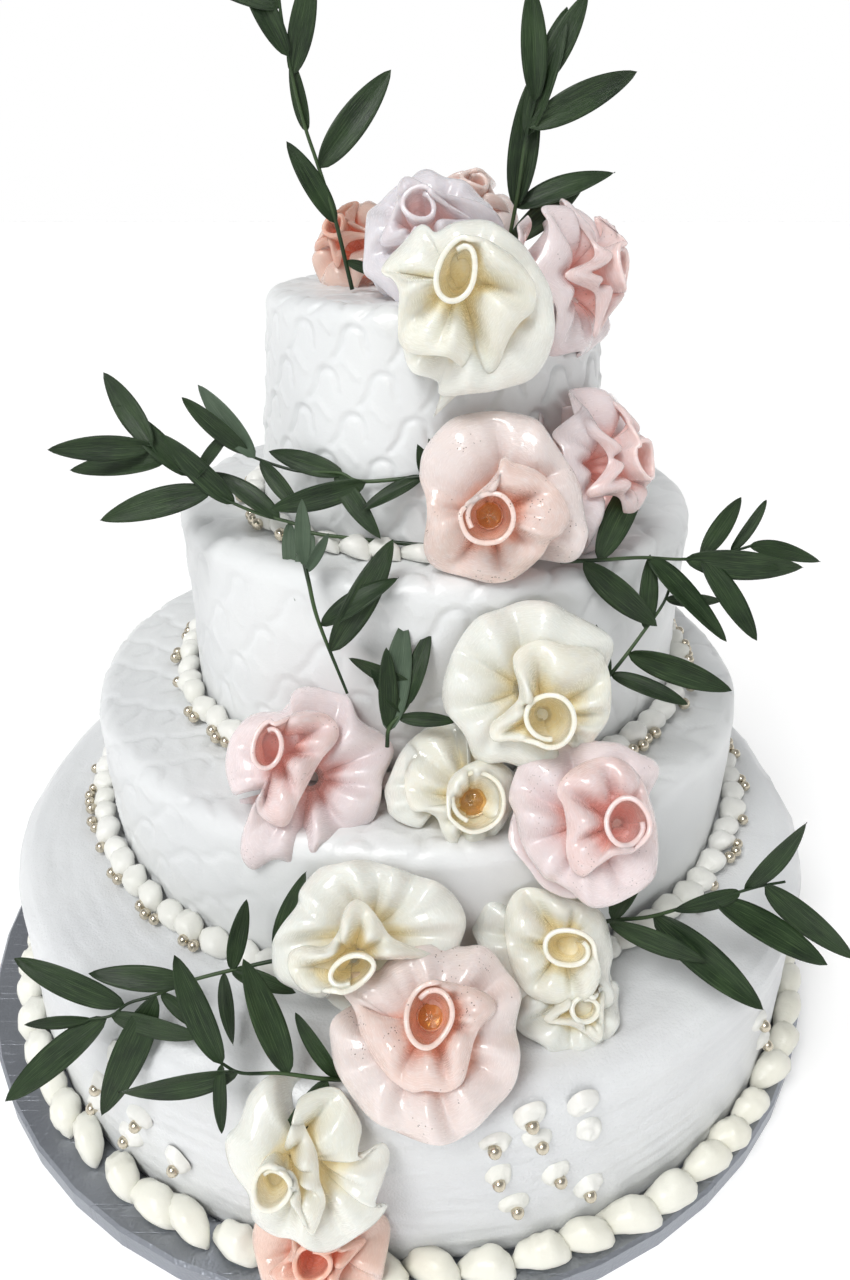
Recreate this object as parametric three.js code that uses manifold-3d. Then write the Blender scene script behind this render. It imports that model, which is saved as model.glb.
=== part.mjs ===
// A four-tier wedding cake on a silver drum, with pulled-sugar roses, piped shells and leafy sprigs.
// Millimetres. +Z is up, the front of the cake faces -Y, and the origin is the middle of the
// drum's underside.
import * as THREE from 'three';
import { mergeVertices } from 'three/addons/utils/BufferGeometryUtils.js';
import Module from 'manifold-3d';

const wasm = await Module();
wasm.setup();

// Driving dimensions
const GAP = 0.3; // between pieces that touch
const CLEARANCE = 0.45; // how far a cutting neighbour is swelled before it cuts
const BOARD = { radius: 236, height: 12, edge: 1.5, sides: 48 };

// Each tier: base and top radius, height of its foot and top, rounding of the rim, centre.
const TIERS = {
  tier_bottom: { base: 214, top: 214, foot: 12, head: 110, rim: 16, centre: [7.5, -5], sides: 48 },
  tier_third: { base: 172, top: 172, foot: 110, head: 180, rim: 9, centre: [11.5, 16], sides: 42 },
  tier_second: { base: 128, top: 128, foot: 180, head: 276, rim: 9, centre: [20, 18], sides: 36 },
  tier_top: { base: 82, top: 75, foot: 276, head: 374, rim: 8, centre: [19, 0], sides: 30 },
};

// Each piped border runs round the foot of one tier: shell length, width and height.
const BORDERS = {
  border_board: { tier: 'tier_bottom', pitch: 22, width: 11, height: 17 },
  border_third: { tier: 'tier_third', pitch: 15, width: 12, height: 10 },
  border_second: { tier: 'tier_second', pitch: 15, width: 11, height: 10 },
  border_top: { tier: 'tier_top', pitch: 14, width: 10, height: 9 },
};

// Pearls beside the borders: diameter, spacing, and the arcs they lie on, in degrees round the
// tier from +X towards +Y.
const PEARL = 5.8;
const PEARL_SPACING = 26;
const PEARL_ARCS = {
  border_third: [[-45, 238]],
  border_second: [[-52, 230]],
  border_top: [[-15, 195], [206, 232]],
};

// Cream dots with a pearl on the bottom tier's wall: angle round the tier, and height.
const DOT = { width: 13, height: 3.2 };
const WALL_DOTS = [
  [-75, 83], [-67, 88], [-78, 66], [-72, 68], [-65, 73], [-78, 45], [-70, 47], [-66, 41], [-76, 29],
  [-36, 58], [-34, 80], [-132, 78], [-138, 61], [-137, 51], [-131, 47], [-128, 37], [-121, 36],
];

// Roses: middle of the skirt, where it faces (degrees from the front towards +X, and upwards),
// diameter, shift of the mouth as shares of the radius, ruffles in the skirt, turn, reach of the
// back towards the cake. Later roses tuck under earlier ones.
const ROSES = {
  rose_blush_front: {
    at: [16, -204, 130], faces: [0, 51], size: 72, mouth: [0.05, 0.2], ruffles: 7, turn: 0.2, back: 36,
  },
  rose_blush_middle: {
    at: [47, -96, 307], faces: [-5, 19], size: 67, mouth: [-0.15, -0.19], ruffles: 6, turn: 1.4, back: 34,
  },
  rose_ivory_top: {
    at: [31, -88, 377], faces: [-3, 14], size: 63, mouth: [-0.13, 0.25], ruffles: 6, turn: 0.6, back: 32,
  },
  rose_ivory_second: {
    at: [56, -125, 237], faces: [-2, 27], size: 70, mouth: [0.17, -0.26], ruffles: 8, turn: 2.1, back: 36,
  },
  rose_pink_right: {
    at: [78, -157, 196], faces: [-4, 40], size: 64, mouth: [0.3, 0], ruffles: 6, turn: 0.9, back: 36,
  },
  rose_pink_left: {
    at: [-33, -126, 195], faces: [4, 37], size: 74, mouth: [-0.3, 0.27], ruffles: 7, turn: 2.6, back: 38,
  },
  rose_ivory_centre: {
    at: [26, -132, 193], faces: [4, 36], size: 55, mouth: [0.32, -0.08], ruffles: 5, turn: 0.1, back: 34,
  },
  rose_ivory_third: {
    at: [-7, -173, 153], faces: [2, 38], size: 76, mouth: [-0.15, -0.25], ruffles: 7, turn: 1.9, back: 38,
  },
  rose_ivory_right: {
    at: [64, -163, 141], faces: [-6, 42], size: 57, mouth: [0.28, -0.05], ruffles: 6, turn: 0.4, back: 36,
  },
  rose_ivory_low: {
    at: [-29, -226, 91], faces: [2, 34], size: 66, mouth: [-0.28, 0.05], ruffles: 6, turn: 1.1, back: 34,
  },
  rose_coral_low: {
    at: [-27, -227, 40], faces: [0, 36], size: 58, mouth: [0, 0.05], ruffles: 6, turn: 2.9, back: 30,
  },
  rose_pink_side: {
    at: [88, -62, 308], faces: [52, 16], size: 70, mouth: [0.1, 0.1], ruffles: 5, turn: 0.7, back: 34,
  },
  rose_pink_edge: {
    at: [75, -42, 379], faces: [58, 14], size: 64, mouth: [0.1, 0.1], ruffles: 5, turn: 2.3, back: 34,
  },
  rose_lilac_top: {
    at: [18, -40, 394], faces: [-4, 30], size: 60, mouth: [-0.1, 0.2], ruffles: 7, turn: 1.6, back: 34,
  },
  rose_blush_back: {
    at: [34, -6, 403], faces: [20, 62], size: 46, mouth: [0, 0], ruffles: 5, turn: 0.5, back: 40,
  },
  rose_coral_back: {
    at: [-17, 2, 389], faces: [-38, 34], size: 44, mouth: [0, 0.1], ruffles: 5, turn: 1.2, back: 30,
  },
  rose_ivory_tucked: {
    at: [74, -176, 120], faces: [14, 44], size: 46, mouth: [0.1, -0.1], ruffles: 5, turn: 1.8, back: 26,
  },
};

// The rose's form from the back to the heart. Each ring: radius and height as shares of the rose's
// radius, how deep the ruffles cut it (outwards, upwards), folds round it (0 follows the ruffles),
// and the share of the mouth's shift that it takes.
const ROSE_RINGS = [
  { radius: 0.78, height: -0.12, out: 0.04, up: 0.05, folds: 0, shift: 0 },
  { radius: 0.96, height: 0.12, out: 0.05, up: 0.12, folds: 0, shift: 0 },
  { radius: 0.66, height: 0.1, out: 0.02, up: 0.03, folds: 0, shift: 0.2 },
  { radius: 0.56, height: 0.42, out: 0.07, up: 0.07, folds: 4, shift: 0.45 },
  { radius: 0.36, height: 0.24, out: 0.02, up: 0.02, folds: 4, shift: 0.75 },
  { radius: 0.25, height: 0.6, out: 0, up: 0.04, folds: 1, shift: 1 },
  { radius: 0.18, height: 0.58, out: 0, up: 0.04, folds: 1, shift: 1 },
];
const MOUTH_FLOOR = 0.28;
const STALK = 0.25;

// Sprigs: root of the stem, the stem's further points and the leaves. Both are written as seen
// from 28 degrees above the front: [right, up, towards the viewer]. A leaf is [share of the
// stem's length, turn in degrees from the right, length, lean towards the viewer in degrees].
const SPRIG_VIEW = 28;
const STEM_RADIUS = 1.1;
const LEAF = { width: 0.32, thickness: 1.3, channel: 1.5, droop: 0.08 };
const SPRIGS = {
  sprig_top_left: {
    root: [-15, -30, 375],
    stem: [[-2, 8, 4], [-6, 24, 11], [-12, 42, 18], [-17, 56, 24], [-21, 72, 32],
      [-24, 92, 42], [-23, 108, 50]],
    leaves: [[0.22, 124, 35, 22], [0.39, 50, 47, 10], [0.5, 104, 26, 24], [0.66, 73, 38, 20],
      [0.71, 122, 36, 22], [0.84, 158, 42, 8], [0.88, 66, 44, 18], [0.99, 106, 42, 20], [0.1, -18, 18, 0]],
  },
  sprig_top_right: {
    root: [48, -22, 380],
    stem: [[2, 10, 6], [5, 26, 16], [7, 42, 25], [10, 54, 32], [12, 64, 36]],
    leaves: [[0.86, 94, 40, 24], [0.92, 60, 38, 16], [0.7, 72, 46, 22], [0.74, 24, 46, 12],
      [0.36, 82, 48, 22], [0.36, 20, 42, 8], [0.18, 34, 42, 14]],
  },
  sprig_left_upper: {
    root: [24, -82, 312],
    stem: [[-33, -2, -6], [-44, 2, -9], [-62, 4, -15], [-78, 9, -16], [-84, 12, -15]],
    leaves: [[0.5, 161, 36, -14], [0.54, 302, 34, 12], [0.38, 198, 42, -6], [0.12, 206, 28, 2],
      [0.12, 88, 22, 14], [0.94, 128, 38, 10], [0.92, 308, 30, 12], [0.99, 140, 34, 20]],
  },
  sprig_left_lower: {
    root: [24, -86, 282],
    stem: [[-52, 6, -6], [-64, 11, -8], [-78, 15, -10], [-92, 21, -10], [-104, 29, -9],
      [-118, 37, -8], [-124, 45, -6]],
    leaves: [[0.76, 194, 49, 4], [0.92, 181, 46, -8], [0.98, 184, 42, 14], [0.84, 137, 44, 2],
      [1, 124, 42, -6], [0.68, 139, 41, 12], [0.53, 141, 36, -4], [0.82, 55, 26, 14],
      [0.42, 256, 30, 16], [0.5, 272, 26, 8]],
  },
  sprig_left_hanging: {
    root: [-33, -104, 288],
    stem: [[3, -12, 2], [7, -28, 2], [18, -56, 0]],
    leaves: [[0.12, 93, 26, 14], [0.16, 55, 18, 20], [0.52, 34, 36, 8], [0.7, 57, 50, 4]],
  },
  sprig_centre: {
    root: [0, -128, 212],
    stem: [[1, 8, 3], [7, 15, 3], [12, 24, 2]],
    leaves: [[0.25, 80, 46, 6], [0.3, 92, 33, 12], [0.98, 156, 30, 6], [0.6, 126, 22, 14],
      [0.5, -4, 24, 6], [0.72, 76, 32, 4]],
  },
  sprig_right_upper: {
    root: [70, -96, 280],
    stem: [[16, 1, -6], [36, 3, -16], [54, 3, -24], [66, 4, -26], [79, 7, -25], [86, 9, -24]],
    leaves: [[0.2, 64, 50, -14], [0.12, 319, 46, -16], [0.48, 316, 48, 4], [0.68, 353, 50, 6],
      [0.76, 303, 42, 14], [0.76, 55, 34, -6], [0.9, 56, 26, 10], [0.99, 352, 34, -4], [0.84, 344, 26, 16]],
  },
  sprig_right_middle: {
    root: [90, -98, 224],
    stem: [[6, 6, 3], [18, 22, 4], [28, 36, 2], [33, 50, -2]],
    leaves: [[0.5, 84, 32, 4], [0.3, 340, 46, 10], [0.12, 338, 34, 16], [0.76, 357, 24, 8],
      [0.1, 108, 26, 8]],
  },
  sprig_right_lower: {
    root: [82, -156, 142],
    stem: [[12, 3, 3], [26, 4, 2], [43, 8, 0], [58, 12, 0], [72, 16, 0], [83, 18, 0]],
    leaves: [[0.78, 195, 30, 12], [0.8, 48, 38, 10], [0.64, 334, 53, 8], [0.9, 318, 48, 4],
      [0.34, 321, 56, 12], [0.14, 66, 44, -6], [0.12, 337, 42, 14]],
  },
  sprig_left_low: {
    root: [-38, -168, 136],
    stem: [[-10, -1, 2], [-33, -6, 3], [-44, -9, 4], [-56, -14, 4], [-66, -17, 4],
      [-73, -22, 4], [-82, -23, 5]],
    leaves: [[0.82, 155, 48, 4], [0.5, 174, 40, 8], [1, 183, 26, 14], [0.92, 219, 51, 6],
      [0.66, 246, 54, 4], [0.64, 324, 24, 14], [0.34, 281, 28, 18], [0.3, 345, 28, 14],
      [0.3, 78, 30, 10], [0.9, 351, 40, 16], [0.08, 76, 38, 6]],
  },
  sprig_front_low: {
    root: [-12, -206, 112],
    stem: [[-11, 3, 6], [-27, 6, 8], [-41, 7, 10], [-49, 11, 10]],
    leaves: [[0.98, 115, 44, 6], [0.5, 110, 46, 2], [0.84, 188, 44, 10], [0.98, 270, 24, 16],
      [0.22, 242, 50, 8], [0.14, 124, 30, 4]],
  },
};

// Colours, from the finish of each real piece
const FONDANT = new THREE.MeshStandardMaterial({ color: 0xf1f1f0, roughness: 0.45 });
const CREAM = new THREE.MeshStandardMaterial({ color: 0xf6f1e2, roughness: 0.55 });
const FOIL = new THREE.MeshStandardMaterial({ color: 0x9ea2a8, roughness: 0.35, metalness: 0.9 });
const LEAF_GREEN = new THREE.MeshStandardMaterial({ color: 0x24402c, roughness: 0.45 });
const SUGAR = {
  ivory: new THREE.MeshStandardMaterial({ color: 0xf3ecd2, roughness: 0.25 }),
  blush: new THREE.MeshStandardMaterial({ color: 0xf6d9d0, roughness: 0.25 }),
  pink: new THREE.MeshStandardMaterial({ color: 0xf5cfcb, roughness: 0.25 }),
  lilac: new THREE.MeshStandardMaterial({ color: 0xeedcdc, roughness: 0.25 }),
  coral: new THREE.MeshStandardMaterial({ color: 0xf2bca6, roughness: 0.25 }),
};

const degrees = THREE.MathUtils.degToRad;

// A geometry with only its corners, shared between the faces that meet there.
function bare(geometry) {
  const copy = geometry.clone();
  copy.deleteAttribute('normal');
  copy.deleteAttribute('uv');
  return mergeVertices(copy, 1e-3);
}

// A closed geometry as a solid that can be joined and cut. Faces that shrank to a line are dropped.
function solidOf(geometry) {
  const closed = bare(geometry);
  const index = closed.index.array;
  const corners = [];
  for (let i = 0; i < index.length; i += 3) {
    const [a, b, c] = [index[i], index[i + 1], index[i + 2]];
    if (a !== b && b !== c && c !== a) corners.push(a, b, c);
  }
  const vertProperties = new Float32Array(closed.attributes.position.array);
  const triVerts = new Uint32Array(corners);
  return new wasm.Manifold(new wasm.Mesh({ numProp: 3, vertProperties, triVerts }));
}

function geometryOf(solid) {
  const mesh = solid.getMesh();
  const geometry = new THREE.BufferGeometry();
  geometry.setAttribute('position', new THREE.BufferAttribute(mesh.vertProperties, 3));
  geometry.setIndex(new THREE.BufferAttribute(mesh.triVerts, 1));
  geometry.computeVertexNormals();
  return geometry;
}

// The same solid with every corner pushed outwards.
function swelled(solid) {
  const geometry = geometryOf(solid);
  const place = geometry.attributes.position;
  const normal = geometry.attributes.normal;
  for (let i = 0; i < place.count; i += 1) {
    place.setXYZ(
      i,
      place.getX(i) + CLEARANCE * normal.getX(i),
      place.getY(i) + CLEARANCE * normal.getY(i),
      place.getZ(i) + CLEARANCE * normal.getZ(i),
    );
  }
  return solidOf(geometry);
}

// The largest piece of a solid that a cut may have parted.
function largest(solid) {
  const pieces = solid.decompose();
  return pieces.reduce((best, piece) => (piece.volume() > best.volume() ? piece : best));
}

// Whether two solids' boxes overlap.
function near(one, other) {
  const [a, b] = [one.boundingBox(), other.boundingBox()];
  return [0, 1, 2].every((axis) => a.min[axis] < b.max[axis] && b.min[axis] < a.max[axis]);
}

// Moves every corner of a geometry by a rule.
function reshape(geometry, rule) {
  const place = geometry.attributes.position;
  const point = new THREE.Vector3();
  for (let i = 0; i < place.count; i += 1) {
    point.fromBufferAttribute(place, i);
    rule(point, i);
    place.setXYZ(i, point.x, point.y, point.z);
  }
  return geometry;
}

// A profile of [radius, height] pairs turned about +Z, its first column towards +X.
function turned(profile, sides) {
  const points = profile.map(([radius, height]) => new THREE.Vector2(radius, height));
  return new THREE.LatheGeometry(points, sides).rotateX(Math.PI / 2).rotateZ(Math.PI / 2);
}

// Random numbers that come out the same each time.
function seeded(seed) {
  let state = seed;
  return () => {
    state = (state * 16807) % 2147483647;
    return state / 2147483647;
  };
}

function boardSolid() {
  const { radius, height, edge, sides } = BOARD;
  const profile = [[0, 0], [radius, 0], [radius, height - edge], [radius - edge, height], [0, height]];
  return solidOf(turned(profile, sides));
}

// A tier with a rounded rim, standing a gap above what carries it.
function tierSolid({ base, top, foot, head, rim, centre, sides }) {
  const profile = [[0, foot + GAP], [base, foot + GAP], [top, head - rim]];
  const rimSteps = 3;
  for (let i = 1; i <= rimSteps; i += 1) {
    const angle = (i / rimSteps) * (Math.PI / 2);
    profile.push([top - rim * (1 - Math.cos(angle)), head - rim * (1 - Math.sin(angle))]);
  }
  profile.push([0, head]);
  return solidOf(turned(profile, sides).translate(centre[0], centre[1], 0));
}

// A low dot of cream on the wall, with a pearl pressed into it.
function wallDot([angle, height]) {
  const { base, centre } = TIERS.tier_bottom;
  const cream = new THREE.IcosahedronGeometry(1).scale(DOT.height, DOT.width / 2, DOT.width / 2);
  const pearl = new THREE.OctahedronGeometry(PEARL / 2).translate(DOT.height, 0, 0);
  const dot = solidOf(cream).add(solidOf(pearl));
  const turn = degrees(angle);
  const place = new THREE.Matrix4().makeRotationZ(turn);
  place.setPosition(centre[0] + base * Math.cos(turn), centre[1] + base * Math.sin(turn), height);
  return dot.transform(place.elements);
}

// A ring of piped shells round a tier's foot. Each shell swells and dips once along the ring. The
// plain ring is the smooth band that they fill, a little wider so that its flats clear them.
function shellRing(border, plain) {
  const tier = TIERS[border.tier];
  const inner = tier.base + GAP;
  const foot = tier.foot + GAP;
  const shells = Math.round((2 * Math.PI * (inner + border.width / 2)) / border.pitch);
  const room = plain ? 1.2 : 0;
  const [width, height] = [border.width + room, border.height + room];
  const section = [[0, 0], [width, 0.1 * height], [0.4 * width, height]];
  if (plain) section.push([0, height]);
  const profile = [...section, section[0]].map(([out, up]) => [inner + out, foot + up]);
  const ring = turned(profile, plain ? tier.sides : 2 * shells);
  if (!plain) {
    reshape(ring, (point) => {
      const angle = Math.atan2(point.y, point.x);
      const swell = 0.78 + 0.22 * Math.cos(shells * angle);
      const radius = Math.hypot(point.x, point.y);
      const reach = (inner + (radius - inner) * swell) / radius;
      point.set(point.x * reach, point.y * reach, foot + (point.z - foot) * swell);
    });
  }
  return solidOf(ring.translate(tier.centre[0], tier.centre[1], 0));
}

// Pearls that lie against the outside of a ring of shells, at uneven steps.
function ringPearls(name, border, random) {
  const tier = TIERS[border.tier];
  const radius = tier.base + GAP + border.width;
  const pearls = [];
  for (const [from, to] of PEARL_ARCS[name] ?? []) {
    for (let turn = degrees(from); turn < degrees(to);) {
      const pearl = new THREE.OctahedronGeometry(PEARL / 2).translate(
        tier.centre[0] + radius * Math.cos(turn),
        tier.centre[1] + radius * Math.sin(turn),
        tier.foot + GAP + PEARL / 2,
      );
      pearls.push(solidOf(pearl));
      turn += (PEARL_SPACING * (0.7 + 0.6 * random())) / radius;
    }
  }
  return pearls;
}

// The frame of a piece that faces a way: +X to its right, +Y up it, +Z out of it.
function facing(at, [around, upwards]) {
  const [turn, lift] = [degrees(around), degrees(upwards)];
  const level = Math.cos(lift);
  const out = new THREE.Vector3(Math.sin(turn) * level, -Math.cos(turn) * level, Math.sin(lift));
  const right = new THREE.Vector3(Math.cos(turn), Math.sin(turn), 0);
  const up = new THREE.Vector3().crossVectors(out, right);
  return new THREE.Matrix4().makeBasis(right, up, out).setPosition(...at);
}

// A rose: a back that reaches into the cake, a ruffled skirt, a standing fold and a rolled mouth.
function roseSolid({ at, faces, size, mouth, ruffles, turn, back }) {
  const radius = size / 2;
  const profile = [[0, -back], [STALK * radius, -back]];
  profile.push(...ROSE_RINGS.map((ring) => [ring.radius * radius, ring.height * radius]));
  profile.push([0, MOUTH_FLOOR * radius]);
  const geometry = turned(profile, 2 * ruffles);
  const first = 2;
  const last = profile.length - 1;
  reshape(geometry, (point, corner) => {
    const row = corner % profile.length;
    const ring = ROSE_RINGS[row - first];
    const angle = Math.atan2(point.y, point.x);
    const reach = Math.hypot(point.x, point.y);
    if (ring) {
      const wave = Math.cos((ring.folds || ruffles) * angle);
      const distance = reach + ring.out * wave * radius;
      point.set(
        distance * Math.cos(angle + turn) + ring.shift * mouth[0] * radius,
        distance * Math.sin(angle + turn) + ring.shift * mouth[1] * radius,
        point.z + ring.up * wave * radius,
      );
    } else if (row === last) {
      point.x = mouth[0] * radius;
      point.y = mouth[1] * radius;
    }
  });
  return solidOf(geometry.applyMatrix4(facing(at, faces)));
}

// A leaf from a stretched ball with four sides: two edges, a midrib above and one below. The edges
// rise to a shallow channel and the tip droops. It grows along +X with its face up +Z.
function leafSolid(length, twist) {
  const leaf = new THREE.SphereGeometry(1, 4, 3);
  reshape(leaf, (point) => {
    const along = (point.y + 1) / 2;
    const spread = Math.sqrt(Math.max(0, 1 - point.y * point.y));
    const belly = spread * (1.15 - 0.35 * along);
    const side = spread ? -point.x / spread : 0;
    const face = spread ? point.z / spread : 0;
    const wave = 0.5 * Math.sin(3 * along + twist);
    point.set(
      along * length,
      side * belly * (LEAF.width / 2) * length,
      face * LEAF.thickness * 0.5 + Math.abs(side) * belly * (LEAF.channel + side * wave)
        - LEAF.droop * length * along * along,
    );
  });
  return solidOf(leaf);
}

// A sprig: a thin stem along a smooth curve, with its leaves grown into it.
function sprigSolid({ root, stem, leaves }) {
  const view = facing(root, [0, SPRIG_VIEW]);
  const points = [[0, 0, 0], ...stem].map((point) => new THREE.Vector3(...point).applyMatrix4(view));
  const path = new THREE.CatmullRomCurve3(points);
  const section = new THREE.Shape();
  const sides = 4;
  for (let i = 0; i < sides; i += 1) {
    const angle = (2 * Math.PI * i) / sides;
    const corner = [STEM_RADIUS * Math.cos(angle), STEM_RADIUS * Math.sin(angle)];
    if (i) section.lineTo(...corner);
    else section.moveTo(...corner);
  }
  const steps = stem.length + 1;
  const tube = new THREE.ExtrudeGeometry(section, { steps, bevelEnabled: false, extrudePath: path });
  let sprig = solidOf(tube);
  leaves.forEach(([share, turn, length, lean], i) => {
    const base = path.getPointAt(Math.min(share, 0.98));
    const [around, towards] = [degrees(turn), degrees(lean)];
    const along = new THREE.Vector3(
      Math.cos(around) * Math.cos(towards),
      Math.sin(around) * Math.cos(towards),
      Math.sin(towards),
    ).transformDirection(view);
    const roll = 0.5 * Math.sin(2.4 * i);
    const side = new THREE.Vector3(-Math.sin(around), Math.cos(around), Math.sin(roll))
      .transformDirection(view);
    const face = new THREE.Vector3().crossVectors(along, side).normalize();
    side.crossVectors(face, along);
    const frame = new THREE.Matrix4().makeBasis(along, side, face).setPosition(base);
    sprig = sprig.add(leafSolid(length, i).transform(frame.elements));
  });
  return sprig;
}

const cake = new THREE.Group();

// Cuts a piece clear of its neighbours, keeps its main body and adds it to the cake. Gives back
// the piece and the room that the pieces placed after it leave free.
function place(name, solid, material, neighbours = []) {
  let clear = solid;
  for (const neighbour of neighbours.filter((other) => near(solid, other.room))) {
    clear = clear.subtract(neighbour.room).subtract(neighbour.piece);
  }
  const piece = largest(clear);
  const mesh = new THREE.Mesh(geometryOf(piece), material);
  mesh.name = name;
  cake.add(mesh);
  return { piece, room: swelled(piece) };
}

const carriers = [place('board', boardSolid(), FOIL)];
for (const [name, tier] of Object.entries(TIERS)) {
  let solid = tierSolid(tier);
  if (name === 'tier_bottom') {
    for (const dot of WALL_DOTS) solid = solid.add(wallDot(dot));
  }
  carriers.push(place(name, solid, FONDANT));
}

const random = seeded(41);
const shellBands = [];
for (const [name, border] of Object.entries(BORDERS)) {
  let solid = shellRing(border, false);
  for (const pearl of ringPearls(name, border, random)) solid = solid.add(pearl);
  place(name, solid, CREAM);
  const band = shellRing(border, true);
  shellBands.push({ piece: band, room: swelled(band) });
}

const roses = [];
for (const [name, rose] of Object.entries(ROSES)) {
  const sugar = SUGAR[name.split('_')[1]];
  const neighbours = [...carriers, ...shellBands, ...roses];
  roses.push(place(name, roseSolid(rose), sugar, neighbours));
}

const sprigs = [];
for (const [name, sprig] of Object.entries(SPRIGS)) {
  const neighbours = [...carriers, ...shellBands, ...roses, ...sprigs];
  sprigs.push(place(name, sprigSolid(sprig), LEAF_GREEN, neighbours));
}

export default cake;
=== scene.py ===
# %% [markdown]
# # A wedding cake with pulled-sugar roses
#
# This file dresses a solid model of a four-tier wedding cake. The solids give every piece its true
# place and size in metres, with +Z up and the front towards -Y. Each cell below makes one kind of
# piece as a fine mesh: rolled fondant with a pressed pattern, piped buttercream shells, sugar
# pearls, roses wound from one ribbon of satin sugar, and sprigs of dark leaves.

# %% The frame and the tools
import math

import bpy
import numpy as np
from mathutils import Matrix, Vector
from mathutils.bvhtree import BVHTree


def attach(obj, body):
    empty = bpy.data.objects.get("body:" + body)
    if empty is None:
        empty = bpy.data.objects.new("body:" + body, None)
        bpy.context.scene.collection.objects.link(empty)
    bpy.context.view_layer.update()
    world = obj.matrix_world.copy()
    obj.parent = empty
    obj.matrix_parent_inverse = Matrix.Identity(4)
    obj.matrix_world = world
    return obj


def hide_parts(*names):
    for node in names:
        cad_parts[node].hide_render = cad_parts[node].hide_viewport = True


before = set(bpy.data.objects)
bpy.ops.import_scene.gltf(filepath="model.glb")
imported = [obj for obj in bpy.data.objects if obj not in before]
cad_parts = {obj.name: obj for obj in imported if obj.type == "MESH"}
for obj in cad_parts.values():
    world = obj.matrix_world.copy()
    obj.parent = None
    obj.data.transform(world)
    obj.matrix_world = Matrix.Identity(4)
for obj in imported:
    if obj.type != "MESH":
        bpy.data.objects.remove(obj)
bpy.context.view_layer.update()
MM = 0.001
ROOT = "root"
print("solids:", len(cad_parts))

# %% [markdown]
# The picture was taken with a wide lens, close to the cake and a little above its top. A wide lens
# close by makes the near tiers look larger than the far ones, so the camera has to stand where the
# photographer stood: moving back and zooming in would give other proportions.

# %% The camera
PICTURE_HEIGHT = 1280
FOCAL_PIXELS = 937
SENSOR = 36
CAMERA_PLACE = (15.4, -444.7, 428.5)
LOOKS_DOWN = 27.86
NEAREST = 0.01
camera_data = bpy.data.cameras.new("camera")
camera_data.sensor_width = SENSOR
camera_data.lens = SENSOR * FOCAL_PIXELS / PICTURE_HEIGHT
camera_data.clip_start = NEAREST
camera = bpy.data.objects.new("camera", camera_data)
camera.location = [value * MM for value in CAMERA_PLACE]
camera.rotation_euler = (math.radians(90 - LOOKS_DOWN), 0, 0)
bpy.context.scene.collection.objects.link(camera)
bpy.context.scene.camera = camera
print("lens", round(camera_data.lens, 2), "mm on a", SENSOR, "mm high picture")

# %% [markdown]
# Materials are networks of nodes. Written out node by node they are long and hard to read, so one
# small class wraps a node's output and gives it Python's own operators: `1 - mask` or
# `noise * 0.2 + 0.4` then add the Math nodes by themselves. Every other node comes from one method
# that takes the kind of node, its settings and what goes into its sockets.


# %% Shader sockets that do arithmetic
class Wire:
    """The output of a shader node, usable in arithmetic."""

    def __init__(self, finish, socket):
        self.finish = finish
        self.socket = socket

    def math(self, operation, *values):
        return self.finish.add("Math", {"operation": operation}, dict(enumerate(values)))

    def __add__(self, other):
        return self.math("ADD", self, other)

    __radd__ = __add__

    def __sub__(self, other):
        return self.math("SUBTRACT", self, other)

    def __rsub__(self, other):
        return self.math("SUBTRACT", other, self)

    def __mul__(self, other):
        return self.math("MULTIPLY", self, other)

    __rmul__ = __mul__


class Finish:
    """One material and the nodes behind it."""

    def __init__(self, name, **constants):
        self.material = bpy.data.materials.new(name)
        self.material.use_nodes = True
        self.tree = self.material.node_tree
        self.shader = self.tree.nodes["Principled BSDF"]
        for socket, value in constants.items():
            self.shader.inputs[socket.replace("_", " ")].default_value = value

    def add(self, kind, settings=None, inputs=None, output=0):
        """A new node: its settings come first, then the values or links of its sockets."""
        node = self.tree.nodes.new("ShaderNode" + kind)
        for name, value in (settings or {}).items():
            if name == "stops":
                for element, (position, level) in zip(node.color_ramp.elements, value):
                    element.position = position
                    element.color = (level, level, level, 1)
            else:
                setattr(node, name, value)
        for name, value in (inputs or {}).items():
            if isinstance(value, Wire):
                self.tree.links.new(value.socket, node.inputs[name])
            else:
                node.inputs[name].default_value = value
        return Wire(self, node.outputs[output])

    def feed(self, socket, value):
        self.tree.links.new(value.socket, self.shader.inputs[socket])

    def position(self):
        return self.add("TexCoord", output="Object")

    def stored(self, name):
        """A value that the mesh keeps for each of its points."""
        return self.add("Attribute", {"attribute_name": name}, output="Fac")

    def vector(self, x, y, z=0.0):
        return self.add("CombineXYZ", None, {"X": x, "Y": y, "Z": z})

    def noise(self, scale, vector=None, detail=3.0, roughness=0.55):
        place = vector or self.position()
        inputs = {"Vector": place, "Scale": scale, "Detail": detail, "Roughness": roughness}
        return self.add("TexNoise", None, inputs)

    def blend(self, factor, first, second):
        """A mix of two colours, each a Wire or (red, green, blue)."""
        colours = [c if isinstance(c, Wire) else (*c, 1) for c in (first, second)]
        inputs = {0: factor, 6: colours[0], 7: colours[1]}
        return self.add("Mix", {"data_type": "RGBA"}, inputs, output=2)

    def ramp(self, value, *stops):
        """A value turned into another by two stops, each its position and its level."""
        return self.add("ValToRGB", {"stops": stops}, {"Fac": value})

    def bump(self, height, depth, strength=1.0):
        inputs = {"Height": height, "Distance": depth, "Strength": strength}
        self.feed("Normal", self.add("Bump", None, inputs))


def paint(red, green, blue):
    """A colour as the eye reads it, 0 to 255, turned into the light that a shader wants."""
    levels = []
    for level in (red, green, blue):
        share = level / 255
        levels.append(share / 12.92 if share <= 0.04045 else ((share + 0.055) / 1.055) ** 2.4)
    return tuple(levels)


print("a pale grey of 225, as light:", round(paint(225, 225, 225)[0], 3))

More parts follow.
